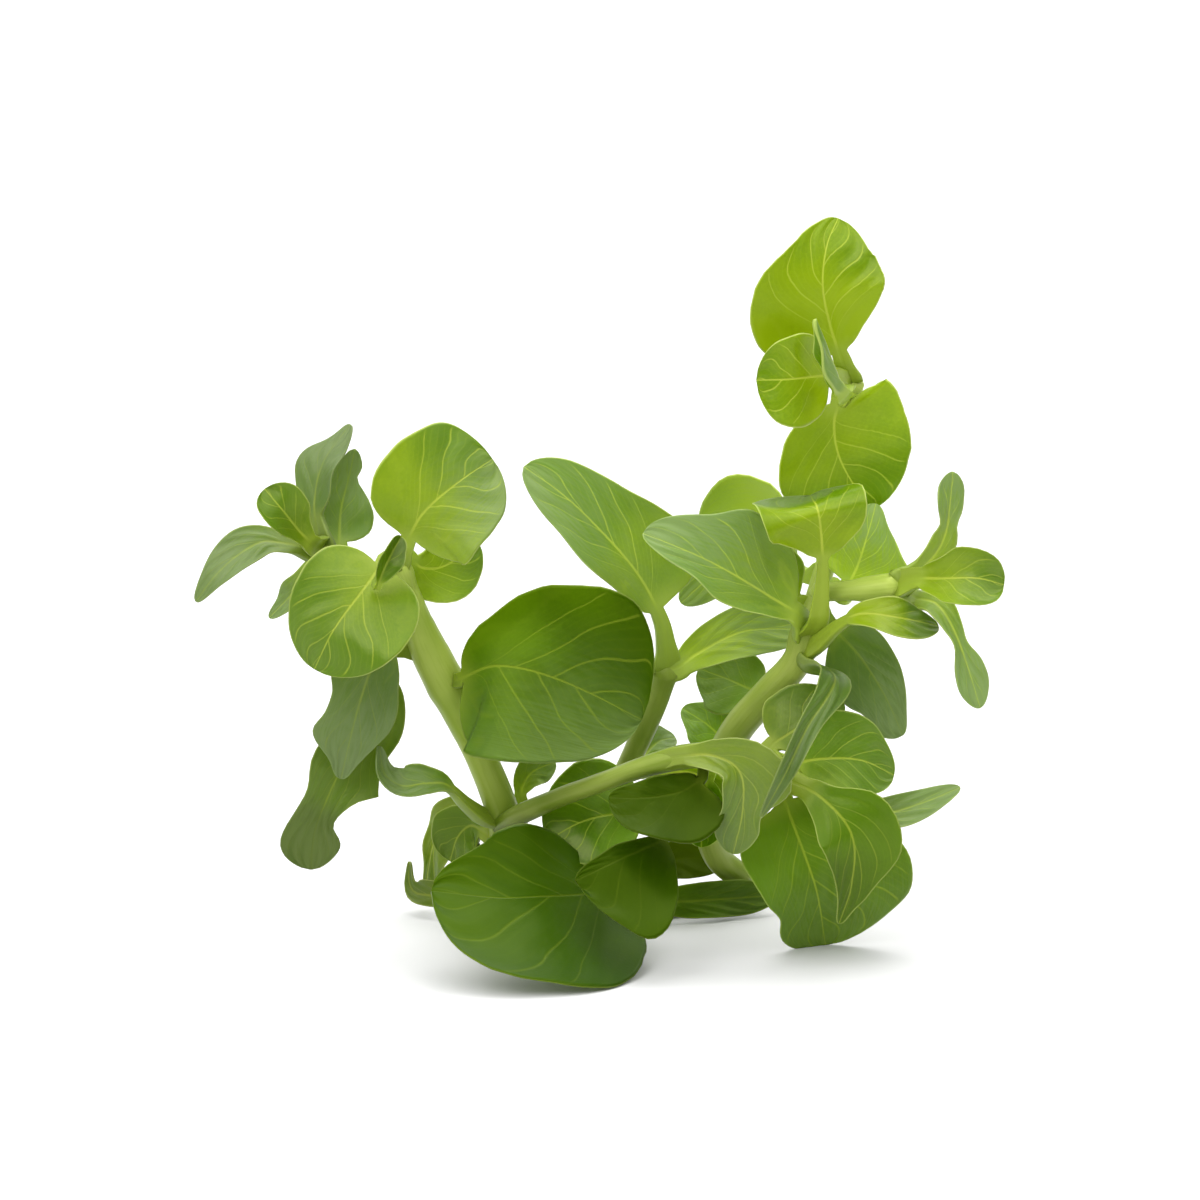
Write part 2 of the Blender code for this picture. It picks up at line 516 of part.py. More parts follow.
def main():
    for thing in list(bpy.data.objects):
        bpy.data.objects.remove(thing)
    plant = bpy.data.collections.new("creeping_jenny")
    bpy.context.scene.collection.children.link(plant)
    for name, points in STEMS.items():
        add_stem(name, points, plant, surface_named(name, STEM_GREEN, STEM_ROUGHNESS))
    for name in RESTING:
        rest_flat(name, plant)
    for name, shape in LEAVES.items():
        add_leaf(name, shape, plant, surface_named(name, leaf_colour(name), LEAF_ROUGHNESS))


main()
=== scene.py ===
"""Creeping jenny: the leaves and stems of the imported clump, with their studio stage."""

from math import cos, exp, pi, radians, sin, sqrt
from typing import NamedTuple

import bmesh
import bpy
from bpy.props import FloatProperty, FloatVectorProperty, PointerProperty
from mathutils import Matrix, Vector, noise
from mathutils.geometry import interpolate_bezier


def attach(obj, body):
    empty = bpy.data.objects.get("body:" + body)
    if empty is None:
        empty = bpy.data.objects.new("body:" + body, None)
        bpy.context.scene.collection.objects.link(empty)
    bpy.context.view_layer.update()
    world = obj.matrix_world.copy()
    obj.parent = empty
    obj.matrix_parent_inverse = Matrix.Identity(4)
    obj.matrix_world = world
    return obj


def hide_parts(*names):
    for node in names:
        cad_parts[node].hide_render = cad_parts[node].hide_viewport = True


bl_info = {
    "name": "Creeping Jenny",
    "version": (1, 0, 0),
    "blender": (4, 5, 0),
    "location": "View3D > Sidebar > Creeping Jenny",
    "description": "Leaves and stems of a cut clump of creeping jenny, and a plain studio stage",
    "category": "Object",
}

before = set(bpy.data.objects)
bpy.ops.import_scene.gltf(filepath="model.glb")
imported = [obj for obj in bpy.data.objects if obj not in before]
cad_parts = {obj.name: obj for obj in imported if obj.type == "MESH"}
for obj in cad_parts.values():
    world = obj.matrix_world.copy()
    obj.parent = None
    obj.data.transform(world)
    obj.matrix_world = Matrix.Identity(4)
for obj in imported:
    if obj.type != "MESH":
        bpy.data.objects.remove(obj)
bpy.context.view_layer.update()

MM = 0.001

# How the plant is measured: places are (across, height, depth) in millimetres, with the
# height as it looks to a viewer who sees the plant from a little above level
VIEW_TILT = radians(13.0)
REST_ACROSS = -0.4
REST_DEPTH = 9.8

# Leaf grid as (rows, columns), finer on leaves over a length in millimetres. Rows crowd towards
# the foot and the tip, and columns towards the margin. The tail is the stretch of the petiole
# between the stem and the foot of the spine
LONG_LEAF = 17.0
LONG_GRID = (44, 24)
SHORT_GRID = (26, 16)
TAIL_ROWS = 4
TAIL_STEPS = 8
LINE_STEPS = 13
END_CROWDING = 0.65
MARGIN_CROWDING = 0.45
MIDDLE = 0.5

# Petiole, in millimetres: the half width that is left at the tip of the leaf, how deep it sits
# in its stem, and how soon its flare ends
TIP_HALF = 0.15
ROOT_DEPTH = 1.6
FLARE_FADE = 1.2
# Its roundness as a share of its half width, and the share of the leaf over which it flattens
STALK_ROUND = 0.35
STALK_FADE = 0.16

# Margin, upper side and veins. Steps say how fast the noise changes along the leaf and across
# it, and then what sets its two halves or its seed apart
NEARLY_FLAT = 0.01
MARGIN_WANDER = 0.03
MARGIN_STEPS = (7, 9)
SURFACE_WANDER = 0.035
SURFACE_STEPS = (3, 1.5, 5)
VEIN_WANDER = 0.22
VEIN_STEPS = (5, 2.5, 7, 11)
VEIN_SWEEP = 0.5
VEIN_BEND = 0.85
VEIN_CROWDING = 0.7
QUILT_HALF_WIDTH = 3.0
QUILT_RISE = 4
FURROW_HALF_WIDTH = 0.55
FURROW_RISE = 3

# Lower side: the blade thins towards its margin, and the midrib stands out
MARGIN_THINNING = 0.55
MARGIN_POWER = 6
RIB_HALF_WIDTH = 0.8

# Stem grid, rounded ends and swollen nodes. Lengths are in millimetres, and END_RADIUS and
# STEM_WANDER are shares of the radius. Ridges and the oval section are (count around, share)
STEM_AROUND = 28
STEM_STEP = 0.8
FEWEST_RINGS = 12
WELD = 0.02 * MM
END_ROUND = 0.8
END_RADIUS = 0.1
SWELL_LENGTH = 1.8
STEM_RIDGES = (5, 0.01)
STEM_OVAL = (2, 0.03)
STEM_WANDER = 0.03
STEM_WANDER_STEP = 4

# How fast the look changes where the tip of a leaf starts
TIP_CHANGE = 12

# Leaf colour. A pair says where a mark starts and ends: in millimetres from the midrib or from
# the margin, in steps from vein to vein, in shares of the blade, or in levels of the noise
CLOUD_SCALE = 110.0
GRAIN_SCALE = 2400.0
TIPWARD = (0.05, 0.95)
TONE_SHIFT = 0.3
TIP_DEEPER = 0.55
CLOUD_PATCHES = 0.9
GRAIN_PATCHES = 0.4
MIDRIB_HALF_WIDTH = 0.34
MIDRIB_NARROWING = 0.24
MIDRIB_CORE = 0.3
SIDES_APART = 0.4
SIDE_VEIN = (0.012, 0.055)
SIDE_VEIN_END = (0.1, 1.5)
SIDE_VEIN_SHOWS = 0.6
FIRST_VEIN = (0.5, 1.2)
FINE_VEINS = 4
FINE_VEIN = (0.02, 0.16)
FINE_VEIN_END = (0.2, 1.2)
FINE_VEIN_SHOWS = 0.1
FINE_VEIN_IN_BLOOM_AND_SHEEN = 0.3
PALER = 0.2
PALER_YOUNG = 0.5
YOUNGEST = 1.5
# The pale rim is painted light along the thin margin
RIM = (0.06, 0.26)
RIM_PALER = 0.1
BLADE_FOOT = (-0.04, 0.12)
FOOT_PALER = 0.3
STREAK_ALONG = 3
STREAK_ACROSS = 1.6
STREAK_SCALE = 2.0
STREAK_EDGE = (0.3, 0.7)
STREAK_CONTRAST = 0.7
# Grey bloom, which also paints the sheen of upper sides seen at a grazing angle
BLOOM_AND_SHEEN_AT_FOOT = 0.35
BLOOM_BELOW = 0.3
MOST_BLOOM_AND_SHEEN = 0.9
VEINS_BARE = 0.4

# Gloss and fine relief
TISSUE_IOR = 1.48
CLOUD_ROUGHNESS = 0.16
BLOOM_AND_SHEEN_ROUGHNESS = 0.12
STREAK_RELIEF = 2
SIDE_VEIN_RELIEF = 0.9
MIDRIB_RELIEF = 1.5
LEAF_BUMP = {"Strength": 0.5, "Distance": 0.00004}
STEM_BUMP = {"Strength": 0.3, "Distance": 0.00006}

# Stem colour
STEM_LINE_ALONG = 0.1
STEM_LINE_AROUND = 3.2
STEM_LINE_SCALE = 2.2
STEM_LINE = (0.45, 0.7)
STEM_LINE_SHOWS = 0.22
STEM_LINE_ROUGHNESS = 0.1
STEM_PATCH = (0.25, 0.8)
STEM_PATCH_MIDDLE = 0.4
STEM_PATCHES = 0.7
STEM_GLOW = 0.14

# Stage
FLOOR_HALF = 4.0
FLOOR_ROUGHNESS = 0.9
SWEEP_ROWS = 60
SWEEP_START = 2.9
SWEEP_RADIUS = 0.8
CEILING = (0.15, 1.0)
WALL_BEHIND = (0.0, 1.0)
WALL_LEFT = (0.1, 1.0)
LAMP_SIZE = 0.5
LAMP_ABOVE = (0.05, 0.1, 0.7)
LAMP_LEFT = (-0.4, -0.65, 0.55)
CAMERA_AIM = (-0.00335, 0.001504, 0.048962)
CAMERA_AWAY = 2.0


class Leaf(NamedTuple):
    """The shape and look of one leaf."""

    # From the foot of the petiole to the tip, as (across, height, depth)
    spine: list
    # Flat half widths of the blade at even steps, seen on its upper side with the tip up
    left: tuple
    right: tuple
    # Where the upper side looks at the middle of the leaf
    face: tuple
    # Tone (0 deep, 1 fresh, 2 young), grey bloom that also paints sheen, and lightness that also
    # paints light and shade
    look: tuple
    slot: str = "fresh_leaf"
    # Share of the length that is petiole
    bare: float = 0.08
    # How far each half reaches back past the foot of the blade
    lobe: tuple = (0, 0)
    # How far each half curls up towards its margin, and the V at the midrib, in radians
    roll: tuple = (0.25, 0.25)
    fold: float = 0.0
    # Size of the waves of the margin, and their count from foot to tip
    wave: tuple = (0.3, 2.0)
    # Where the petiole starts in its stem. Without a root it runs straight back by its reach
    root: tuple = None
    reach: float = 2.2
    # Half width of the petiole, and how much of it is added where it enters the stem
    stalk: float = 1.0
    flare: float = 0.5
    # Side veins on each half
    veins: int = 4
    # How much the bloom and its painted sheen gather at the right half, or at the left half where
    # it is below 0: painted sheen on the side of the leaf that catches the light
    painted_sheen_side: float = 0.0
    # Share that the tip starts at, what it adds to the tone and to the bloom with its painted
    # sheen, its lightness
    tip: tuple = (1.0, 0.0, 0.0, 1.0)


class Stem(NamedTuple):
    """The shape and look of one stem."""

    # The middle line from foot to top, as (across, height, depth, radius)
    line: list
    # Greenness and lightness at the foot and at the top; the lightness also paints in the light and
    # shade on the stem
    foot: tuple
    top: tuple
    # How far it runs on past the foot and the top of its line
    reach: tuple = (1.5, 1.5)
    # Swollen nodes as (share of the length, share added to the radius)
    swells: tuple = ()
    # Whether it is pressed flat on the floor
    rests: bool = False


STEMS = {
    "creeping_stem": Stem(
        line=[(-20, 2.6, 3, 2.1), (-8, 3.6, 7, 2.3), (6, 4.6, 12, 2.3), (19, 5.9, 18, 2.1)],
        foot=(0.5, 0.75), top=(0.5, 0.75), rests=True),
    "left_stem": Stem(
        line=[(-17.4, 5.8, 3, 2.4), (-17.5, 11, 0, 2.5), (-18.2, 18, -2, 2.4),
              (-20.5, 24.5, -3, 2.3), (-25, 34.5, -4, 2.7), (-29.3, 43, -5, 2.8),
              (-32.3, 51, -7, 2.0), (-33.8, 55.5, -10, 1.6)],
        foot=(0.7, 0.75), top=(0.1, 1.25), reach=(1.5, 0.8), swells=((0.62, 0.1), (0.97, 0.2))),
    "left_side_stem": Stem(
        line=[(-35, 51.5, -5, 1.2), (-38.5, 54, -5.5, 1.2), (-42.5, 56.5, -6.5, 1.2),
              (-45.2, 58, -7.5, 1.1)],
        foot=(0.2, 1.0), top=(0.2, 1.0), reach=(3, 0.6), swells=((1.0, 0.2),)),
    "centre_stem": Stem(
        line=[(-10.5, 7.6, 6, 1.7), (-6, 13, 6, 1.7), (-1.5, 21.5, 5, 1.6), (2, 29, 3, 1.6),
              (4.9, 36, 1, 1.8), (6, 39.8, 0, 1.7)],
        foot=(0.8, 0.6), top=(0.3, 0.95), reach=(2.5, 0.8), swells=((1.0, 0.25),)),
    "right_stem": Stem(
        line=[(17, 8.7, 15, 2.1), (14, 11.5, 12.5, 2.1), (12.3, 16, 9, 2.1), (12.5, 22, 5, 2.2),
              (16.5, 30.5, 0, 2.4), (22, 37, -4, 2.4), (25.6, 41.2, -6, 2.3),
              (26.9, 45.5, -6, 2.2)],
        foot=(0.2, 0.75), top=(0.25, 0.85), reach=(2, 2), swells=((0.98, 0.12),)),
    "right_side_stem": Stem(
        line=[(30.6, 51.5, -7.5, 1.4), (34, 51.7, -8.5, 1.5), (37, 51.9, -9, 2.0),
              (41, 52.3, -10, 2.1)],
        foot=(0.1, 1.1), top=(0.0, 1.15), reach=(3.5, 0), swells=((0.45, 0.08),)),
    "top_stem": Stem(
        line=[(28, 49, -2.5, 1.6), (30, 56, 2, 1.5), (32.2, 66, 4.5, 1.4), (33.3, 76, 2.5, 1.4),
              (33.5, 82.5, -1, 1.5)],
        foot=(0.1, 1.1), top=(0.0, 1.2), reach=(3.5, 0.6), swells=((1.0, 0.3),)),
    "low_stem": Stem(
        line=[(-18.6, 16.6, -3, 1.5), (-15.4, 18.4, -8, 1.6), (-9.5, 21, -12.3, 1.5),
              (-3.5, 23.2, -15, 1.5), (4, 25.9, -17, 1.6), (10, 27.2, -17.5, 1.9),
              (16.5, 27, -17, 2), (21.5, 25.5, -16, 2)],
        foot=(0.8, 0.5), top=(0.2, 0.9), reach=(1, 0.4)),
}

LEFT_LEAVES = {
    "left_round_leaf": Leaf(
        spine=[(-35.6, 56.2, -12.5), (-39, 51.5, -17.5), (-43, 46, -20), (-46, 40, -19)],
        left=(9.5, 10.6, 8.6), right=(8.6, 8.8, 6.6), face=(-0.2, -1, 0.3), lobe=(1, 4.2),
        root=(-33.8, 55.5, -10), veins=5, look=(1.2, 0.14, 0.7), painted_sheen_side=0.5),
    "left_top_leaf": Leaf(
        spine=[(-32.6, 58.3, -11.5), (-30, 63, -12.5), (-25, 67.5, -10), (-19.7, 71.2, -5)],
        left=(9, 10.2, 9.8, 8.2), right=(9.6, 9.6, 9, 7.2), face=(0.1, -1, 0.2), lobe=(0, 3.4),
        roll=(0.1, 0.4), root=(-33.8, 55.5, -10), stalk=1.2, look=(1.35, 0.4, 0.8), painted_sheen_side=0.7),
    "left_under_leaf": Leaf(
        spine=[(-32.2, 56.4, -4.2), (-30, 55, -3.4), (-26.8, 55.4, -3), (-21.8, 58.8, -2.5)],
        left=(5, 6.4, 5.8), right=(4.8, 5.8, 4.4), face=(0.1, -0.95, 0.4), lobe=(0, 2.5),
        root=(-33.4, 54.4, -8.4), stalk=1.3, look=(1.45, 0.2, 1.1)),
    "left_bud_leaf": Leaf(
        spine=[(-36.6, 52.4, -19.4), (-35.3, 55.4, -19.8), (-34.2, 57.6, -19),
               (-33.1, 59.6, -17.2)],
        left=(1.9, 2.4, 1.9), right=(1.9, 2.4, 1.9), face=(0.4, -0.9, 0.1), roll=(0.5, 0.5),
        fold=0.4, reach=0.6, stalk=0.6, flare=0, veins=3, look=(0.4, 0.0, 0.78)),
    "left_drooping_leaf": Leaf(
        spine=[(-47.3, 57.6, -9.5), (-50.3, 58.6, -11), (-53.6, 59, -12), (-57, 57.2, -13),
               (-60.6, 54, -14), (-63.6, 50, -14)],
        left=(1.9, 2.8, 2.8, 1.7), right=(2.2, 3.4, 3.3, 2), face=(-0.3, -0.8, 0.6),
        root=(-45.2, 58, -7.5), stalk=1.4, slot="grey_leaf", look=(1.05, 0.86, 0.62)),
    "left_spoon_leaf": Leaf(
        spine=[(-46.9, 58.8, -11.6), (-48.8, 61.2, -13.4), (-51.2, 64.2, -15), (-53.3, 66.7, -14)],
        left=(2.2, 3.6, 4.2), right=(2.4, 3.8, 4.2), face=(0.3, -0.9, 0.3), bare=0.05,
        roll=(0.9, 0.9), root=(-45.2, 58, -7.5), stalk=1.5, look=(1.15, 0.08, 0.68)),
    "left_upright_leaf": Leaf(
        spine=[(-45.3, 60, -7), (-46.2, 65, -5), (-45, 70.5, -3), (-40.9, 76.4, 0)],
        left=(3.6, 4.6, 2.2), right=(3.5, 3.5, 3), face=(-0.8, -0.8, 0), bare=0.15,
        root=(-44.4, 57.6, -7.2), stalk=1.3, slot="grey_leaf", look=(0.8, 0.9, 0.56)),
    "left_rear_leaf": Leaf(
        spine=[(-42.6, 57.8, -3), (-42.3, 63.5, -1), (-41, 69, 0.5), (-40.2, 72.7, 1)],
        left=(4, 4.5, 4.4, 3.4, 2), right=(4.6, 5, 3.9, 1.5, 1.6), face=(0.1, -1, 0.1), lobe=(0, 1),
        root=(-42.3, 56.4, -6.5), stalk=1.2, slot="grey_leaf", look=(0.85, 0.8, 0.94)),
    "left_edge_leaf": Leaf(
        spine=[(-46.5, 56, -4.5), (-49.5, 51.5, -4), (-53, 47.6, -4)],
        left=(2, 2.6, 1.6), right=(1.5, 2, 1.2), face=(-0.6, -0.8, 0.2), root=(-44.1, 57.4, -7),
        veins=3, slot="grey_leaf", look=(1.3, 0.9, 0.9)),
    "left_hanging_leaf": Leaf(
        spine=[(-34.5, 45.5, -8.5), (-37.5, 40.5, -9.5), (-39.4, 35.2, -10), (-41, 29.2, -10.5),
               (-42.3, 23.6, -10)],
        left=(4, 5, 5.8, 5.6, 4, 2.2), right=(4.5, 5.5, 4.4, 4.7, 5.8, 2.8), face=(0, -1, 0.1),
        root=(-30.9, 47.4, -6), stalk=1.3, veins=5, slot="grey_leaf", look=(0.7, 0.74, 0.66)),
    "left_curled_leaf": Leaf(
        spine=[(-35.8, 42, -4), (-36.8, 35.2, -4.5), (-39.4, 28.5, -5.5), (-42.5, 24.6, -6.5),
               (-44.6, 20.2, -7.5), (-46.3, 15.7, -8), (-46.9, 10, -7.5)],
        left=(4, 5, 4.5, 6.8, 3.9, 2.4, 4.2), right=(3, 4, 5.5, 5.2, 3.6, 3.8, 5),
        face=(0.2, -1, 0.1), root=(-29.3, 43, -5), stalk=1.3, veins=6, look=(0.85, 0.36, 0.58),
        painted_sheen_side=0.3, tip=(0.66, -0.6, 0.35, 0.72)),
    "left_cupped_leaf": Leaf(
        spine=[(-21.5, 18.1, -4.7), (-23.5, 19.8, -6), (-26.8, 22.8, -8), (-30, 23, -9),
               (-33.3, 22.7, -9.5), (-35.8, 24.5, -9.5), (-36.6, 28.5, -9)],
        left=(2.2, 3.3, 2.8, 1.6), right=(2.2, 3.3, 2.8, 1.6), face=(0, -0.6, 0.8), bare=0.3,
        roll=(0.6, 0.6), root=(-18.6, 17.6, -1.8), stalk=1.35, slot="grey_leaf",
        look=(0.9, 0.52, 0.78), tip=(0.5, -0.3, 0.2, 0.9)),
}

CENTRE_LEAVES = {
    "centre_round_leaf": Leaf(
        spine=[(-24.6, 38.4, -9), (-19, 40.5, -11.5), (-10, 38.5, -13), (2.5, 32.5, -12)],
        left=(6.6, 12.2, 14.4, 15.2, 12.2), right=(12.8, 15.2, 14.6, 12.6, 9.2),
        face=(0.1, -0.95, 0.35), bare=0.03, lobe=(1.5, 8.5), roll=(0.3, 0.4),
        root=(-25.4, 38.5, -5), flare=0, veins=5, slot="deep_leaf", look=(0.35, 0.26, 0.64),
        painted_sheen_side=1.0),
    "centre_pointing_leaf": Leaf(
        spine=[(6.2, 42.5, -0.5), (5.4, 47, -1.5), (2, 54, -4), (-5, 62, -7), (-10, 66.5, -8),
               (-15, 70, -8)],
        left=(3.6, 4.8, 5.6, 5, 4), right=(10.6, 9.4, 7.8, 6.2, 4.8), face=(0.3, -1, 0.3), bare=0.2,
        lobe=(3.5, 2.5), root=(6, 39.8, 0), stalk=1.5, veins=5, slot="grey_leaf",
        look=(1.2, 0.48, 1.04), painted_sheen_side=-0.4),
    "centre_arching_leaf": Leaf(
        spine=[(8.1, 40.2, 0.5), (11, 42.4, 2), (17, 45.4, 4), (22.5, 46, 6), (28, 45.6, 8)],
        left=(3.2, 4, 3.6), right=(3, 4.2, 3.4), face=(0.1, -0.9, 0.5), bare=0.03, roll=(0.6, 0.2),
        root=(6, 39.6, 0), stalk=1.8, flare=0, look=(2.0, 0.82, 1.14)),
    "centre_rear_leaf": Leaf(
        spine=[(21, 36, 1), (17.5, 37.5, 5), (14.5, 38.8, 8), (11, 40, 10)],
        left=(5, 6, 4.5), right=(4.5, 5, 4), face=(0, -0.9, 0.4), root=(19.8, 34.4, -2.4),
        slot="deep_leaf", look=(0.5, 0.38, 0.84)),
    "centre_low_leaf": Leaf(
        spine=[(16, 28, 6.5), (12.5, 31.5, 9), (8.6, 34, 11)],
        left=(3.5, 4, 2.5), right=(3.5, 4, 2.5), face=(0, -0.9, 0.4), root=(14.3, 25.8, 2.8),
        veins=3, slot="deep_leaf", look=(0.65, 0.5, 1.46)),
    "centre_small_leaf": Leaf(
        spine=[(2.5, 26.5, 7), (5, 29, 9.5), (7.6, 29.6, 12)],
        left=(2, 2.5, 2), right=(2, 2.5, 2), face=(0, -0.9, 0.4), root=(0.6, 25, 3.8), veins=3,
        slot="grey_leaf", look=(0.8, 0.74, 0.94)),
}

RIGHT_LEAVES = {
    "right_wide_leaf": Leaf(
        spine=[(25.2, 48.3, -9.5), (20, 51.7, -12.5), (13.5, 55.5, -15), (7.5, 58.2, -16.5),
               (2.6, 60.1, -16.5)],
        left=(3, 4.5, 5, 3.5, 2.5), right=(8, 9.4, 9.6, 6.8, 4.8), face=(0.1, -0.85, 0.5),
        bare=0.03, root=(26.6, 45.5, -6.4), stalk=1.6, veins=5, slot="grey_leaf",
        look=(1.15, 0.6, 1.06), painted_sheen_side=0.3),
    # The far part bends back, and the bloom added at the tip paints the sheen seen on it at a
    # grazing angle
    "right_curled_leaf": Leaf(
        spine=[(28.7, 48, -10.5), (29.2, 55, -12.5), (28.9, 60.6, -15), (28.4, 63.6, -15.6),
               (27.8, 65, -11), (27.4, 65.8, -6.5)],
        left=(4.5, 8.2, 9.2, 9.6, 8), right=(4.2, 6.6, 7.6, 6.2, 3.6), face=(0, -1, 0.3), bare=0.36,
        roll=(0.8, 0.15), root=(27.2, 44.6, -7), stalk=1.5, veins=5, look=(1.45, 0.0, 0.84),
        tip=(0.68, -0.5, 0.6, 0.9)),
    "right_small_leaf": Leaf(
        spine=[(25.1, 50.6, -2.3), (24.8, 54, -2.6), (23, 58.4, -3)],
        left=(1.4, 1.8, 1.4), right=(1.6, 2.2, 1.8), face=(0.3, -1, 0.2), root=(28, 49, -2.5),
        veins=3, look=(1.4, 0.1, 1.0)),
    "right_pale_leaf": Leaf(
        spine=[(33, 51.8, -4.5), (34.8, 56, -3.5), (36.5, 61.5, -2), (37.3, 64.6, -1)],
        left=(7, 6.4, 3.4), right=(8.6, 6, 3), face=(-0.2, -1, 0.3), root=(31.6, 51.6, -7.6),
        stalk=1.4, look=(1.7, 0.64, 1.56)),
    "right_rear_leaf": Leaf(
        spine=[(26.4, 54, 4.5), (21, 57.5, 9), (14, 54.5, 14), (8.4, 49.8, 18)],
        left=(3, 4, 3.6, 3), right=(13, 11, 5.5, 3), face=(0.1, -1, 0.2), root=(29.6, 54.6, 1.1),
        look=(1.7, 0.52, 1.2)),
    "right_hanging_leaf": Leaf(
        spine=[(30.2, 46.5, -2.2), (34.5, 42.5, -2.5), (38.5, 36.5, -2), (41.5, 30, -0.5)],
        left=(4.2, 4.7, 4.2, 3.3, 2.2), right=(6.4, 6.8, 6.4, 4.6, 4.2), face=(0.3, -0.9, 0.3),
        root=(28, 49, -2.5), stalk=1.3, veins=5, slot="grey_leaf", look=(0.05, 0.4, 1.0)),
    "right_strap_leaf": Leaf(
        spine=[(28.8, 44, -10.5), (31.5, 46.5, -13), (35, 48.2, -14.5), (41, 47.6, -14.5),
               (46.5, 46.4, -10.5)],
        left=(2.6, 3.2, 2.4), right=(2.8, 3.7, 3), face=(0, -0.7, 0.8), bare=0.3,
        root=(26.4, 42.6, -6.4), stalk=1.5, look=(1.5, 0.06, 0.7), tip=(0.6, -0.2, 0.1, 1.0)),
    "right_cup_leaf": Leaf(
        spine=[(43.9, 53.4, -12), (47, 53.5, -15), (52, 53.5, -17), (56, 52.5, -16)],
        left=(3, 4.8, 4.4), right=(3.4, 5.6, 5.2), face=(0, -0.9, 0.5), bare=0.03, roll=(1.1, 0.9),
        root=(40.2, 52.2, -9.8), stalk=1.7, look=(1.5, 0.2, 0.8)),
    "right_twisted_leaf": Leaf(
        spine=[(43.6, 54.6, -9), (46.2, 57.2, -8.7), (47.6, 60.2, -8), (48.1, 63.6, -7.3),
               (48.6, 69.3, -6)],
        left=(1.7, 1.8, 1.2, 2.1, 2.1), right=(1.7, 2.1, 1.3, 2.1, 2.1), face=(0.3, -0.9, 0),
        bare=0.03, root=(40.2, 52.4, -9.8), stalk=1.5, veins=3, slot="grey_leaf",
        look=(1.5, 0.64, 0.92)),
    "right_drooping_leaf": Leaf(
        spine=[(43.3, 50.2, -8.6), (46.3, 49.6, -10.5), (48.7, 46, -12.2), (50.6, 41, -13),
               (52.7, 34.2, -12.5)],
        left=(1.7, 1.5, 1.1, 2.4, 2.6), right=(1.7, 1.4, 1, 2.3, 2.5), face=(0.4, -0.9, 0.2),
        bare=0.03, root=(40, 52, -9.8), stalk=1.6, slot="grey_leaf", look=(1.3, 0.7, 1.08)),
    "right_folded_leaf": Leaf(
        spine=[(27.6, 41, -10), (31, 39.2, -14.6), (30.4, 36.6, -18.4), (27, 31.6, -23.4),
               (23.6, 24.6, -27), (20, 18.2, -28)],
        left=(2.6, 2, 1.7, 1.3), right=(2.8, 2.1, 1.6, 1.3), face=(0.3, -0.9, 0.2), bare=0.0,
        root=(26.4, 42.4, -6.8), stalk=1.1, flare=0, veins=3, slot="grey_leaf",
        look=(0.7, 0.32, 0.58)),
}

TOP_LEAVES = {
    "top_upright_leaf": Leaf(
        spine=[(32.2, 85.7, -3.5), (30.4, 90.7, -5), (29.2, 96.7, -5), (29.8, 102.7, -3.5),
               (31.5, 106.8, -1)],
        left=(10.6, 11.5, 10.2, 6.4, 3.6), right=(5.2, 8.2, 9.4, 8.6, 6.5), face=(0, -1, 0.1),
        root=(33.5, 82.4, -1), stalk=1.2, veins=5, look=(1.7, 0.0, 0.8)),
    "top_hanging_leaf": Leaf(
        spine=[(31.9, 80.4, -3.8), (31, 76.5, -3.8), (32, 71, -2.4), (36.5, 63.5, 1)],
        left=(10, 11.5, 9), right=(8, 10, 8), face=(0, -1, 0.1), lobe=(16.5, 0),
        root=(33.5, 82.4, -1), stalk=1.2, veins=5, look=(1.35, 0.0, 1.06)),
    "top_round_leaf": Leaf(
        spine=[(30.6, 83.6, -7), (28.3, 83.3, -10), (24, 82.8, -13), (19.3, 82.7, -13)],
        left=(6.2, 7.2, 6.4), right=(5.8, 6.8, 5.8), face=(0, -1, 0.1), root=(33.4, 82.6, -1.4),
        look=(1.7, 0.0, 0.86)),
    "top_bud_leaf": Leaf(
        spine=[(31.6, 80.4, -10.5), (30.2, 84, -14), (28.9, 88, -16), (27.7, 91.5, -16.5)],
        left=(1.8, 2, 1.4), right=(1.8, 2, 1.4), face=(-1, -0.4, 0), fold=0.5,
        root=(32.6, 81.2, -6), veins=3, look=(0.9, 0.0, 1.0)),
}

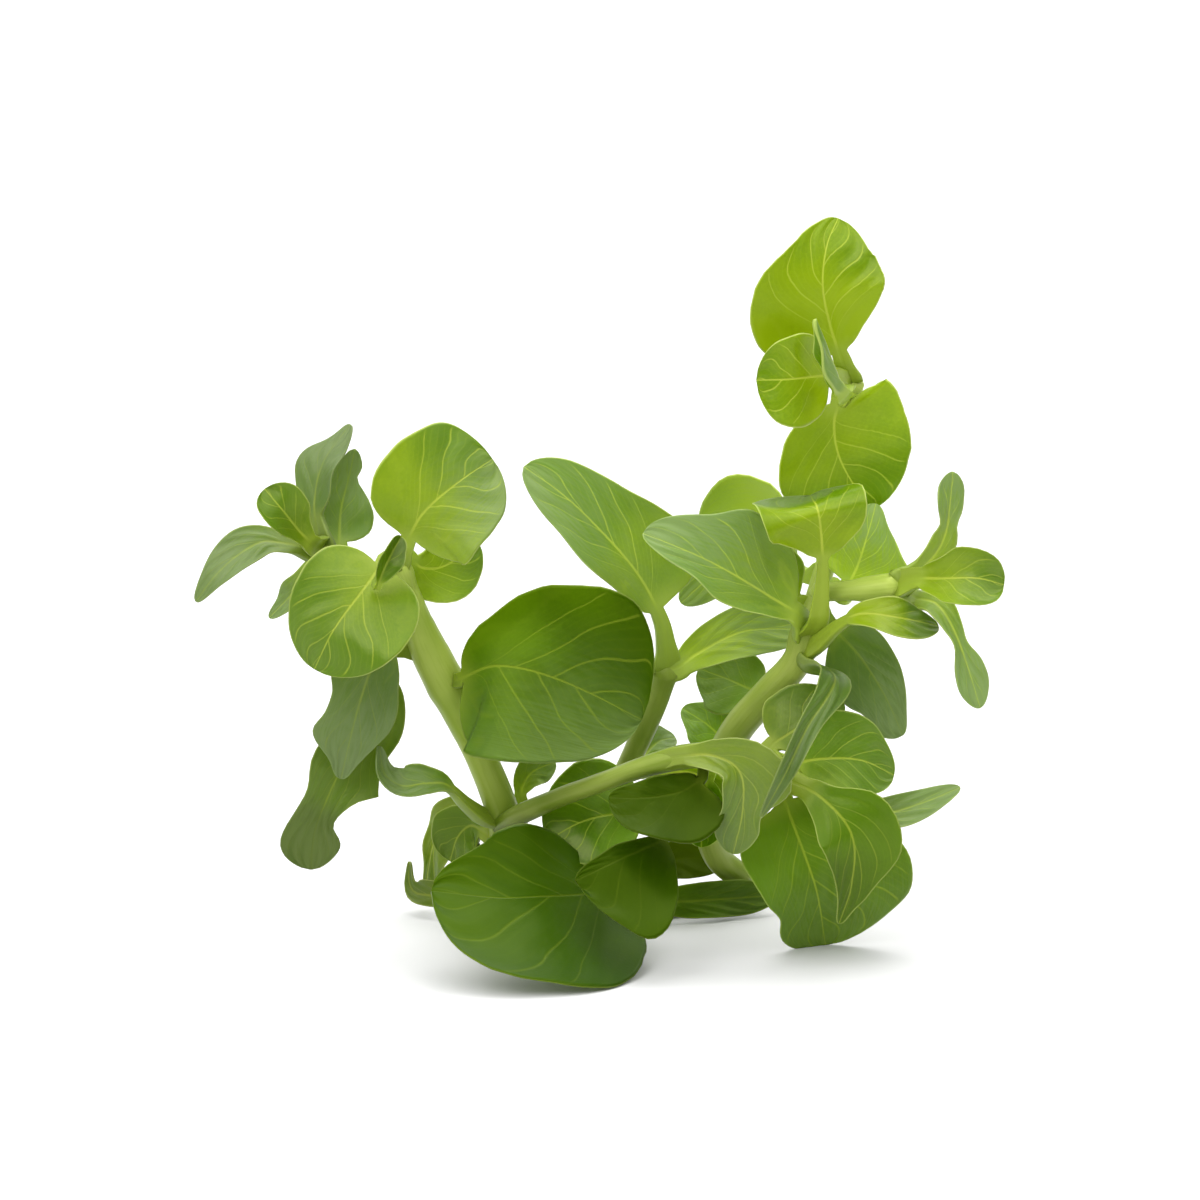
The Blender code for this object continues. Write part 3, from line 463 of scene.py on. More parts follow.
LOW_LEAVES = {
    "low_draped_leaf": Leaf(
        spine=[(8.8, 27.3, -19.6), (13, 27.2, -21.4), (16.8, 25, -22.4), (17.4, 19.6, -22),
               (16, 12.6, -20.6)],
        left=(2, 4.4, 7.4, 3.4, 3), right=(2, 2.4, 3.2, 3.2, 3.8), face=(-0.1, -1, 0.2), bare=0.0,
        roll=(0.3, 0.5), root=(3.4, 25.7, -17), stalk=1.3, flare=0, slot="grey_leaf",
        look=(1.55, 0.26, 0.64)),
    "low_wide_leaf": Leaf(
        spine=[(24.5, 25.8, -16.2), (29, 26.7, -16), (35, 26.5, -14), (40, 24.2, -11)],
        left=(7, 6.8, 4.6), right=(5.4, 6, 5), face=(0, -0.9, 0.4), lobe=(2.5, 1),
        root=(21, 25.6, -16), stalk=1.4, veins=5, look=(0.95, 0.18, 0.96)),
    "low_front_leaf": Leaf(
        spine=[(23.9, 23.6, -19), (29, 21, -22), (33.5, 15.5, -24), (33.5, 8, -23),
               (31.7, 2.2, -21)],
        left=(3, 6.8, 7, 4.2, 2), right=(3.2, 5, 4.6, 3, 1.6), face=(0.1, -1, 0.2), bare=0.12,
        root=(20.6, 25.6, -16.4), stalk=1.9, veins=5, look=(0.75, 0.0, 0.68)),
    "low_large_leaf": Leaf(
        spine=[(23, 22.2, -13), (25.5, 15.5, -15), (28.5, 7, -13), (30, -1.5, -6)],
        left=(9.4, 13, 15, 13.6, 9.4), right=(9, 8.8, 7.8, 6.4, 6.6), face=(0, -0.95, 0.3),
        lobe=(3, 0), root=(21, 25.4, -15.6), stalk=1.4, veins=5, slot="deep_leaf",
        look=(0.65, 0.3, 0.98)),
    "low_spur_leaf": Leaf(
        spine=[(26, 23.3, -9.5), (31, 20.5, -9), (38, 18.5, -8), (44.3, 20, -6), (50, 22.3, -5)],
        left=(2, 2.4, 2.2, 1.8), right=(2.4, 2.8, 2.6, 1.8), face=(0, -0.8, 0.6), bare=0.3,
        root=(21.4, 25.4, -15), stalk=1.3, veins=3, slot="grey_leaf", look=(1.2, 0.72, 0.98)),
    "low_rear_leaf": Leaf(
        spine=[(22, 28.8, -12.2), (25, 30.9, -11.6), (28.5, 33.5, -10.6), (32.5, 35.2, -9.6)],
        left=(6, 6, 4.2), right=(3.8, 4.6, 3.8), face=(0, -0.8, 0.6), bare=0.03, lobe=(1.5, 0),
        root=(20.6, 25.8, -15.4), stalk=1.2, look=(1.1, 0.18, 0.62)),
}

FOOT_LEAVES = {
    "foot_front_leaf": Leaf(
        spine=[(0.5, 5.2, -5), (-4, 6.5, -13.5), (-11.5, 6.4, -20), (-19, 6.2, -24),
               (-28.7, 7.2, -25)],
        left=(12.4, 17.6, 19, 17, 12.6), right=(6.5, 10.8, 12, 11, 7.8), face=(-0.1, -0.75, 0.66),
        bare=0.1, stalk=1.2, veins=5, slot="deep_leaf", look=(-0.1, 0.0, 0.72)),
    "foot_middle_leaf": Leaf(
        spine=[(10.4, 17.8, 4), (9.8, 17.2, -5), (8.2, 15.6, -13), (4.8, 14.2, -18.5),
               (0, 12.2, -22), (-7.4, 8.7, -24.5)],
        left=(6, 10.5, 13.5, 13.8, 9.5), right=(1.5, 2, 2.4, 2, 1.6), face=(0, -0.9, 0.4),
        bare=0.58, root=(12.3, 17.2, 8.2), stalk=1.1, veins=5, slot="deep_leaf",
        look=(-0.2, 0.0, 0.48)),
    "foot_upper_leaf": Leaf(
        spine=[(3.5, 17.8, -4), (-1, 18.4, -6), (-6.5, 17.2, -7.6), (-11.6, 14.4, -8.4)],
        left=(7, 7.8, 7), right=(8, 8.8, 6.4), face=(0, -0.85, 0.5), stalk=1.2, veins=5,
        look=(0.45, 0.0, 1.24)),
    "foot_dark_leaf": Leaf(
        spine=[(11, 23.4, -18.4), (8, 21.8, -20), (2.5, 21, -21.5), (-2.5, 21, -21)],
        left=(8.4, 8, 5.6), right=(3, 3, 2.4), face=(0, -0.8, 0.6), bare=0.0, lobe=(3.4, 1),
        root=(11.6, 26.4, -17.4), stalk=0.7, flare=0, veins=5, slot="deep_leaf",
        look=(-0.2, 0.0, 0.38)),
    "foot_small_leaf": Leaf(
        spine=[(12.3, 24.3, -13.5), (11.6, 20, -15), (11.3, 13.5, -16.5)],
        left=(3, 3.5, 3.4), right=(3, 3.5, 3.2), face=(0.2, -1, 0.3), root=(12.9, 26.8, -17),
        slot="deep_leaf", look=(0.3, 0.0, 1.72)),
    "foot_bright_leaf": Leaf(
        spine=[(5, 24.6, -10.5), (11, 24.2, -10.5), (14.2, 20, -11), (14.2, 14, -11.5)],
        left=(1.6, 2, 2), right=(1.6, 2, 2), face=(0, -1, 0.2), root=(2.5, 25.4, -16), veins=3,
        look=(1.3, 0.04, 1.0)),
    # A leaf guessed into the dark patch behind the foot: its very low lightness paints the shade
    # there
    "foot_shaded_leaf": Leaf(
        spine=[(1.5, 8.5, 15.5), (5, 10.6, 18.5), (10, 11.2, 20.5), (15.5, 10.6, 21.5)],
        left=(2.6, 3.2, 2.8), right=(2.6, 3.2, 2.8), face=(0.2, -0.9, 0.3), root=(0, 4.6, 10.8),
        veins=3, slot="deep_leaf", look=(-0.2, 0.18, 0.2)),
    "foot_back_leaf": Leaf(
        spine=[(2, 4.7, 5.2), (9, 4.9, 7.2), (16, 5.3, 9.6), (23.4, 5.8, 12.6)],
        left=(2.4, 2.8, 2.6), right=(2.4, 2.8, 2.6), face=(0.3, -0.9, 0.3), root=(-1, 4, 9.2),
        stalk=1.2, slot="deep_leaf", look=(0.2, 0.22, 0.66)),
    "foot_brown_leaf": Leaf(
        spine=[(-21.6, 17.8, 3.6), (-24.6, 18.8, 7.6), (-27.4, 17.4, 10.6), (-28.8, 14, 12.8),
               (-29.6, 10.2, 14.4), (-30.2, 5.6, 15.6)],
        left=(2.8, 4.4, 4, 3.6, 2.8), right=(2, 2.2, 1.8, 1.4, 1), face=(-0.4, -0.8, 0.4),
        wave=(0.5, 3.0), root=(-17.9, 15.2, -0.6), stalk=1.4, veins=3, look=(1.5, 0.02, 0.6)),
    "foot_hooked_leaf": Leaf(
        spine=[(-25, 6.2, 5), (-29.6, 5.8, 9.6), (-32.3, 6.8, 12.6), (-32.6, 10.8, 14)],
        left=(1.6, 1.6, 1), right=(2, 2.2, 1.2), face=(0, -1, 0.3), root=(-19.4, 3.6, 3.6),
        stalk=1.3, veins=3, look=(1.3, 0.26, 0.4)),
    "foot_left_leaf": Leaf(
        spine=[(-20.8, 15.4, 1.5), (-23.2, 16.4, 3), (-25.2, 14.6, 4), (-26.3, 11, 5)],
        left=(4.6, 4.6, 3), right=(3.4, 4.6, 4), face=(-0.2, -0.9, 0.4), lobe=(2, 0),
        root=(-17.8, 13.6, -0.4), stalk=1.3, look=(0.75, 0.0, 0.68)),
    "foot_rim_leaf": Leaf(
        spine=[(-15.4, 18.8, 3), (-15.6, 21.6, 3.4), (-14, 24.4, 4), (-10.4, 26, 4.6)],
        left=(1.8, 2.5, 2.4), right=(1.8, 2.5, 2.4), face=(0.2, -0.8, 0.6), bare=0.25,
        roll=(0.5, 0.5), root=(-17.6, 16.4, -1), stalk=1.3, veins=3, look=(1.15, 0.5, 0.92)),
}


def place(across, height, depth):
    """World place of a point whose height is given as it looks from VIEW_TILT above level."""
    level = (height - depth * sin(VIEW_TILT)) / cos(VIEW_TILT)
    return Vector((across - REST_ACROSS, depth - REST_DEPTH, level)) * MM


def clamp(value):
    return min(max(value, 0.0), 1.0)


def smooth_line(points):
    """Evenly stepped places on a smooth curve through the points."""
    ends = [points[0] * 2 - points[1]] + points + [points[-1] * 2 - points[-2]]
    line = [points[0]]
    for before, start, end, after in zip(ends, ends[1:], ends[2:], ends[3:]):
        reach = (end - start).length / 3
        leave = (end - before).normalized() * reach
        arrive = (after - start).normalized() * reach
        line += interpolate_bezier(start, start + leave, end - arrive, end, LINE_STEPS)[1:]
    return line


def petiole_line(start, line):
    """A smooth line from inside the stem to the foot of the leaf."""
    gap = line[0] - start
    leave = gap / 3
    arrive = (line[1] - line[0]).normalized() * gap.length / 3
    return interpolate_bezier(start, start + leave, line[0] - arrive, line[0], TAIL_STEPS)


def length_of(line):
    return sum((b - a).length for a, b in zip(line, line[1:]))


def point_at(line, share):
    """Place and direction at a share of the line, which runs on straight past both ends."""
    left = share * length_of(line)
    if left < 0:
        along = (line[1] - line[0]).normalized()
        return line[0] + along * left, along
    if share > 1:
        along = (line[-1] - line[-2]).normalized()
        return line[-1] + along * (share - 1) * length_of(line), along
    for a, b in zip(line, line[1:]):
        step = (b - a).length
        if left <= step or b is line[-1]:
            return a + (b - a) * (left / step), (b - a).normalized()
        left -= step


def carry(first, directions):
    """A vector carried along a line, kept square to each of its directions in turn."""
    vectors = [first]
    for along in directions:
        vectors.append((vectors[-1] - vectors[-1].project(along)).normalized())
    return vectors


def outline(along, widths):
    """Flat half width at a share of the blade, round at both ends, through even widths."""
    squares = [-widths[0] ** 2, 0.0] + [width ** 2 for width in widths] + [0.0, -widths[-1] ** 2]
    place_on = clamp(along) * (len(widths) + 1)
    step = min(int(place_on), len(widths))
    share = place_on - step
    before, start, end, after = squares[step:step + 4]
    rise = (end - before) / 2
    fall = (after - start) / 2
    bend = 2 * (start - end) + rise + fall
    value = ((bend * share - bend - rise + end - start) * share + rise) * share + start
    return sqrt(max(value, 0.0))


def curl(distance, half, roll, fold):
    """Sideways reach and lift of a point on a half blade that rolls towards its margin."""
    if abs(roll) < NEARLY_FLAT:
        side, lift = distance, 0.0
    else:
        radius = half / roll
        side = radius * sin(distance / radius)
        lift = radius * (1 - cos(distance / radius))
    return side * cos(fold) - lift * sin(fold), side * sin(fold) + lift * cos(fold)


def leaf_line(leaf):
    """The middle line of a leaf, its length without the tail, and the tail's own length."""
    line = smooth_line([place(*spot) for spot in leaf.spine])
    length = length_of(line) / MM
    if leaf.root:
        tail = petiole_line(place(*leaf.root), line)
        return tail[:-1] + line, length, length_of(tail) / MM
    back = (line[1] - line[0]).normalized() * leaf.reach * MM
    return [line[0] - back] + line, length, leaf.reach


def leaf_shares(rows, tail):
    """Share of the length at each row: below 0 on the tail, and closer at the foot and tip."""
    shares = [-tail * step / TAIL_ROWS for step in range(TAIL_ROWS, 0, -1)]
    for row in range(rows - TAIL_ROWS + 1):
        even = row / (rows - TAIL_ROWS)
        eased = (1 - cos(pi * even)) / 2
        shares.append(even * (1 - END_CROWDING) + eased * END_CROWDING)
    return shares


def leaf_frames(line, shares, tail, face):
    """Place, direction, upward and rightward vectors and share of the length for each row."""
    spots, alongs = zip(*[point_at(line, (share + tail) / (1 + tail)) for share in shares])
    middle = min(range(len(shares)), key=lambda row: abs(shares[row] - MIDDLE))
    first = carry(face, [alongs[middle]])[1]
    before = carry(first, reversed(alongs[:middle]))
    ups = before[:0:-1] + carry(first, alongs[middle + 1:])
    return [(spot, along, up, along.cross(up), share)
            for spot, along, up, share in zip(spots, alongs, ups, shares)]


def half_widths(leaf, share, blade, side, from_root, seed):
    """Half width of the blade alone, and together with the petiole that it grows out of."""
    along, across = MARGIN_STEPS
    flat = outline(blade, leaf.right if side else leaf.left)
    flat *= 1 + MARGIN_WANDER * noise.noise(Vector((share * along, side * across, seed)))
    neck = leaf.stalk * (1 - max(share, 0.0)) ** 2 + TIP_HALF
    neck += leaf.stalk * leaf.flare * exp(-max(from_root - ROOT_DEPTH, 0.0) / FLARE_FADE)
    return flat, sqrt(flat ** 2 + neck ** 2)


def vein_phase(leaf, share, blade, side, eased, seed):
    """Counts the side veins: whole numbers lie on veins that fan forward, closer at the foot."""
    along, across, apart, later = VEIN_STEPS
    spot = Vector((share * along, eased * across + side * apart, seed + later))
    start = max(blade - VEIN_SWEEP * eased ** VEIN_BEND, 0.0)
    return leaf.veins * start ** VEIN_CROWDING + noise.noise(spot) * VEIN_WANDER


def leaf_grid(rows, columns):
    """A flat grid from -0.5 to 0.5, with a copy of it 1 below and walls between the two."""
    mesh = bmesh.new()
    bmesh.ops.create_grid(mesh, x_segments=rows, y_segments=columns, size=0.5)
    made = bmesh.ops.extrude_face_region(mesh, geom=list(mesh.faces), use_keep_orig=True)
    lower = [item for item in made["geom"] if isinstance(item, bmesh.types.BMVert)]
    bmesh.ops.translate(mesh, verts=lower, vec=(0, 0, -1))
    # Extruding lists the walls in no fixed order
    mesh.verts.index_update()
    count = len(mesh.verts)
    mesh.faces.sort(key=lambda face: face.verts[0].index * count + face.verts[2].index)
    return mesh


def leaf_mesh(leaf, tissue):
    """A fleshy leaf: a grid bent to its upper side, and a lower side at the tissue's depth."""
    line, length, reach = leaf_line(leaf)
    rows, columns = LONG_GRID if length > LONG_LEAF else SHORT_GRID
    tail = reach / length
    frames = leaf_frames(line, leaf_shares(rows, tail), tail, Vector(leaf.face))
    mesh = leaf_grid(rows, columns)
    # lay: share of the blade, share across it (left below 0), and 1 on the lower side
    # gauge: millimetres from the midrib and from the margin, and the count of side veins
    lay = mesh.verts.layers.float_vector.new("lay")
    gauge = mesh.verts.layers.float_vector.new("gauge")
    widest = (max(leaf.left), max(leaf.right))
    wave_size, waves = leaf.wave
    surface_along, surface_across, later = SURFACE_STEPS
    seed = leaf.spine[0][0] + leaf.spine[0][1] * 3
    for vert in mesh.verts:
        spot, along, up, out, share = frames[round((vert.co.x + 0.5) * rows)]
        across = vert.co.y * 2
        below = round(-vert.co.z)
        side = 1 if across > 0 else 0
        aside = abs(across)
        eased = aside * (1 - MARGIN_CROWDING) + sin(aside * pi / 2) * MARGIN_CROWDING
        blade = (share - leaf.bare) / (1 - leaf.bare)
        towards_tip = max(share, 0.0)
        flat, wide = half_widths(leaf, share, blade, side, share * length + reach, seed)
        fullness = flat / widest[side]
        phase = vein_phase(leaf, share, blade, side, eased, seed)

        # The half blade rolls up and waves towards its margin, and its lobe reaches back
        sideways, lift = curl(eased * wide, wide, leaf.roll[side], leaf.fold)
        ripple = sin(2 * pi * waves * share + side * pi / 2)
        lift += wave_size * eased ** 2 * ripple * fullness
        back = leaf.lobe[side] * eased * fullness * (1 - blade) ** 3

        # Panels swell between the veins, and a furrow follows the midrib
        quilt = cos(2 * pi * phase) * eased * (1 - eased) * 4 * min(1.0, flat / QUILT_HALF_WIDTH)
        lift -= tissue.quilt / MM * quilt * clamp(blade * QUILT_RISE)
        furrow = exp(-(eased * wide / FURROW_HALF_WIDTH) ** 2) * (1 - towards_tip)
        lift -= tissue.furrow / MM * furrow * clamp(blade * FURROW_RISE)
        uneven = Vector((share * surface_along, across * surface_across, seed + later))
        lift += noise.noise(uneven) * flat * SURFACE_WANDER

        # The petiole is round, and turns into the blade
        arch = sqrt(max(0.0, 1 - aside ** 2))
        stalky = max(0.0, 1 - towards_tip / (leaf.bare + STALK_FADE))
        lift += arch * stalky * leaf.stalk * STALK_ROUND
        hand = 1 if side else -1
        vert.co = spot + (out * sideways * hand + up * lift - along * back) * MM

        # The lower side follows at the depth of the flesh, and nothing sinks into the floor
        thin = tissue.blade / MM * (1 - MARGIN_THINNING * aside ** MARGIN_POWER)
        rib = exp(-(eased * wide / RIB_HALF_WIDTH) ** 2) * (1 - towards_tip)
        depth = thin + tissue.rib / MM * rib + tissue.petiole / MM * stalky * arch
        vert.co.z = max(vert.co.z, thin * MM * up.z)
        vert.co -= up * MM * below * depth
        vert.co.z = max(vert.co.z, 0.0)
        vert[lay] = (blade, eased * hand, below)
        vert[gauge] = (eased * wide, (1 - eased) * wide, phase)
    bmesh.ops.recalc_face_normals(mesh, faces=list(mesh.faces))
    if mesh.calc_volume(signed=True) < 0:
        bmesh.ops.reverse_faces(mesh, faces=list(mesh.faces))
    return mesh


def tint_leaf(leaf, mesh):
    """Store the tone, the bloom with its painted sheen, and the lightness with its painted light
    and shade, of each point, with another look at the tip.
    """
    look = mesh.verts.layers.float_vector.new("tone")
    lay = mesh.verts.layers.float_vector["lay"]
    tone, bloom_and_sheen_amount, light = leaf.look
    starts, tone_there, bloom_and_sheen_at_tip, light_there = leaf.tip
    for vert in mesh.verts:
        tip = clamp((vert[lay].x - starts) * TIP_CHANGE)
        # The painted sheen gathers on one half of the blade
        bloom_and_sheen = bloom_and_sheen_amount * (1 + leaf.painted_sheen_side * sin(vert[lay].y * pi / 2))
        vert[look] = (tone + tone_there * tip, bloom_and_sheen + bloom_and_sheen_at_tip * tip,
                      light * (1 + (light_there - 1) * tip))


def stem_mesh(stem):
    """A fleshy stem: a grid closed into a tube of varying radius with rounded ends."""
    line = smooth_line([place(*point[:3]) for point in stem.line])
    radii = smooth_line([Vector((point[3], index, 0)) for index, point in enumerate(stem.line)])
    length = length_of(line) / MM
    rings = max(FEWEST_RINGS, round(length / STEM_STEP))
    whole = 1 + sum(stem.reach) / length
    shares = [-stem.reach[0] / length + ring / rings * whole for ring in range(rings + 1)]
    spots, alongs = zip(*[point_at(line, share) for share in shares])
    ups = carry(alongs[0].orthogonal().normalized(), alongs[1:])
    mesh = bmesh.new()
    bmesh.ops.create_grid(mesh, x_segments=rings, y_segments=STEM_AROUND, size=0.5)
    # turn: millimetres along the stem, and the direction around it
    turn = mesh.verts.layers.float_vector.new("turn")
    (ridges, ridge_size), (lobes, lobe_size) = STEM_RIDGES, STEM_OVAL
    seed = stem.line[0][0]
    for vert in mesh.verts:
        ring = round((vert.co.x + 0.5) * rings)
        angle = (vert.co.y + 0.5) * 2 * pi
        share = shares[ring]
        radius = radii[round(clamp(share) * (len(radii) - 1))].x
        from_end = min(ring, rings - ring) * length / rings
        rounding = sqrt(max(0.0, 1 - (1 - min(from_end / END_ROUND, 1.0)) ** 2))
        radius *= rounding * (1 - END_RADIUS) + END_RADIUS
        for centre, swell in stem.swells:
            radius *= 1 + swell * exp(-((share - centre) * length / SWELL_LENGTH) ** 2)
        ridge = cos(angle * ridges + seed) * ridge_size + cos(angle * lobes + seed) * lobe_size
        uneven = Vector((share * length / STEM_WANDER_STEP, cos(angle), seed))
        radius *= 1 + ridge + STEM_WANDER * noise.noise(uneven)
        out = alongs[ring].cross(ups[ring])
        vert.co = spots[ring] + (ups[ring] * cos(angle) + out * sin(angle)) * radius * MM
        vert[turn] = (share * length, cos(angle), sin(angle))
        if stem.rests:
            vert.co.z = max(vert.co.z, 0.0)
    bmesh.ops.remove_doubles(mesh, verts=list(mesh.verts), dist=WELD)
    bmesh.ops.holes_fill(mesh, edges=[edge for edge in mesh.edges if edge.is_boundary])
    bmesh.ops.recalc_face_normals(mesh, faces=list(mesh.faces))
    return mesh


def tint_stem(stem, mesh):
    """Store the greenness and lightness of each point, graded from the foot to the top."""
    look = mesh.verts.layers.float_vector.new("tone")
    turn = mesh.verts.layers.float_vector["turn"]
    longest = max(vert[turn].x for vert in mesh.verts)
    foot, top = (Vector((green, 0, light)) for green, light in (stem.foot, stem.top))
    for vert in mesh.verts:
        vert[look] = foot.lerp(top, clamp(vert[turn].x / longest))


class Term:
    """A socket that takes part in shader maths."""

    def __init__(self, board, socket):
        self.board = board
        self.socket = socket

    def math(self, operation, *others):
        return self.board.node("ShaderNodeMath", {"operation": operation},
                               dict(enumerate((self, *others))))

    def __add__(self, other):
        return self.math("ADD", other)

    def __sub__(self, other):
        return self.math("SUBTRACT", other)

    def __rsub__(self, other):
        return self * -1 + other

    def __mul__(self, other):
        return self.math("MULTIPLY", other)

    def __abs__(self):
        return self.math("ABSOLUTE")

    __radd__ = __add__
    __rmul__ = __mul__


class Board:
    """The nodes of one material or of the room."""

    def __init__(self, tree):
        self.tree = tree
        self.tree.nodes.clear()

    def node(self, kind, settings=None, values=None, output=0):
        """One node: its settings first, then the values or links of its sockets."""
        made = self.tree.nodes.new(kind)
        for key, value in (settings or {}).items():
            setattr(made, key, value)
        for key, value in (values or {}).items():
            if isinstance(value, Term):
                self.tree.links.new(value.socket, made.inputs[key])
            else:
                made.inputs[key].default_value = value
        return Term(self, made.outputs[output]) if made.outputs else made

    def parts(self, vector):
        """The three numbers of a vector."""
        made = self.node("ShaderNodeSeparateXYZ", None, {0: vector})
        return [Term(self, socket) for socket in made.socket.node.outputs]

    def attribute(self, name):
        """The three numbers that each point of a piece stores under a name."""
        stored = self.node("ShaderNodeAttribute", {"attribute_name": name}, output="Vector")
        return self.parts(stored)

    def mix(self, amount, first, second):
        """A colour between two."""
        first, second = [
            colour if isinstance(colour, Term) else (*colour, 1) for colour in (first, second)]
        return self.node("ShaderNodeMix", {"data_type": "RGBA"},
                         {0: amount, 6: first, 7: second}, output=2)

    def scaled(self, colour, amount):
        """A colour made lighter or darker."""
        return self.node("ShaderNodeVectorMath", {"operation": "SCALE"}, {0: colour, 3: amount})

    def between(self, value, low, high):
        """A smooth step from 0 at low to 1 at high."""
        return self.node("ShaderNodeMapRange", {"interpolation_type": "SMOOTHSTEP"},
                         {0: value, 1: low, 2: high})

    def noise(self, scale, place_in=None, detail=1.0):
        """Soft noise from 0 to 1, in the object's own space unless another place is given."""
        place_in = place_in or self.node("ShaderNodeTexCoord", output="Object")
        return self.node("ShaderNodeTexNoise", None,
                         {"Vector": place_in, "Scale": scale, "Detail": detail})

    def flesh(self, tissue, values, relief, depth, glow):
        """Waxy tissue that lets a share of the light through: the whole surface of a material."""
        bump = self.node("ShaderNodeBump", None, {**depth, "Height": relief})
        shader = self.node("ShaderNodeBsdfPrincipled", None, {
            **values, "Metallic": 0.0, "IOR": TISSUE_IOR, "Normal": bump})
        through = self.node("ShaderNodeBsdfTranslucent", None, {"Color": (*tissue.through, 1)})
        mixed = self.node("ShaderNodeMixShader", None, {0: glow, 1: shader, 2: through})
        self.node("ShaderNodeOutputMaterial", None, {"Surface": mixed})


def new_surface(name, colour):
    """A material with a plain colour for the solid view, and its empty board."""
    surface = bpy.data.materials.new(name)
    surface.use_nodes = True
    surface.diffuse_color = (*colour, 1)
    return surface, Board(surface.node_tree)


def from_whole(value):
    """Distance from the nearest whole number."""
    return 0.5 - abs(value.math("FRACT") - 0.5)


def leaf_green(board, tissue, tone, tipward, cloud, grain):
    """Deep, fresh or young green in soft patches, deeper towards the tip."""
    patchy = tone + TONE_SHIFT - tipward * TIP_DEEPER
    patchy = patchy + (cloud - 0.5) * CLOUD_PATCHES + (grain - 0.5) * GRAIN_PATCHES
    green = board.mix(board.between(patchy, 0, 1), tissue.deep, tissue.fresh)
    return board.mix(board.between(patchy, 1, 2), green, tissue.young)


def leaf_veins(board, blade, across, offset, margin, phase):
    """Masks of the midrib, the side veins and the fine veins between those."""
    width = MIDRIB_HALF_WIDTH - blade * MIDRIB_NARROWING
    midrib = 1 - board.between(offset, width * MIDRIB_CORE, width)
    count = phase + across.math("GREATER_THAN", 0) * SIDES_APART
    side_vein = 1 - board.between(from_whole(count), *SIDE_VEIN)
    side_vein = side_vein * board.between(count, *FIRST_VEIN)
    side_vein = side_vein * board.between(margin, *SIDE_VEIN_END)
    fine_vein = 1 - board.between(from_whole(count * FINE_VEINS), *FINE_VEIN)
    fine_vein = fine_vein * board.between(margin, *FINE_VEIN_END)
    return midrib, side_vein, fine_vein


def leaf_surface(name, tissue, sheen, gloss):
    """Leaf tissue: green panels between paler veins, a pale rim of painted light, grey bloom with
    painted sheen, a greyer underside.
    """
    surface, board = new_surface(name, tissue.fresh)
    blade, across, below = board.attribute("lay")
    offset, margin, phase = board.attribute("gauge")
    tone, bloom_and_sheen_amount, light = board.attribute("tone")
    cloud = board.noise(CLOUD_SCALE)
    grain = board.noise(GRAIN_SCALE)
    streak_at = board.node("ShaderNodeCombineXYZ", None,
                           {0: blade * STREAK_ALONG, 1: across * offset * STREAK_ACROSS})
    streak = board.noise(STREAK_SCALE, streak_at, 2.0)
    tipward = board.between(blade, *TIPWARD)
    green = leaf_green(board, tissue, tone, tipward, cloud, grain)
    midrib, side_vein, fine_vein = leaf_veins(board, blade, across, offset, margin, phase)

    # Veins, rim and foot of the blade are paler than the panels, and stand out more on young
    # leaves. The pale rim is painted light, the thin margin as it looks lit through
    veins = midrib + side_vein * SIDE_VEIN_SHOWS
    veins = veins + fine_vein * (bloom_and_sheen_amount * FINE_VEIN_IN_BLOOM_AND_SHEEN + FINE_VEIN_SHOWS)
    veins = veins.math("MINIMUM", 1)
    paler = tone.math("MINIMUM", YOUNGEST) * PALER_YOUNG + PALER
    colour = board.mix(veins * paler, green, tissue.vein)
    # Painted light along the margin
    rim = 1 - board.between(margin, *RIM)
    colour = board.mix(rim * (paler + RIM_PALER), colour, tissue.rim)
    foot = 1 - board.between(blade, *BLADE_FOOT)
    colour = board.mix(foot * (paler + FOOT_PALER), colour, tissue.foot)

    # Grey bloom and painted sheen, in streaks: thicker towards the tip and below, thinner on the
    # veins. The painted sheen stands for the soft reflection on upper sides seen at a grazing angle
    streaked = (board.between(streak, *STREAK_EDGE) - 0.5) * STREAK_CONTRAST + 1
    bloom_and_sheen_mask = bloom_and_sheen_amount * (tipward + BLOOM_AND_SHEEN_AT_FOOT) * streaked + below * BLOOM_BELOW
    bloom_and_sheen_mask = bloom_and_sheen_mask.math("MINIMUM", MOST_BLOOM_AND_SHEEN) * (1 - veins * VEINS_BARE)
    colour = board.mix(bloom_and_sheen_mask, colour, tissue.bloom_and_sheen)

    rough = tissue.leaf_roughness + (cloud - 0.5) * CLOUD_ROUGHNESS + bloom_and_sheen_amount * BLOOM_AND_SHEEN_ROUGHNESS
    relief = grain + streak * bloom_and_sheen_amount * STREAK_RELIEF
    relief = relief - side_vein * SIDE_VEIN_RELIEF - midrib * MIDRIB_RELIEF
    # The lightness paints in the light and shade on each leaf, along with its own tone
    values = {"Base Color": board.scaled(colour, light), "Roughness": rough,
              "Specular IOR Level": gloss, "Specular Tint": (*sheen, 1)}
    board.flesh(tissue, values, relief, LEAF_BUMP, tissue.glow)
    return surface


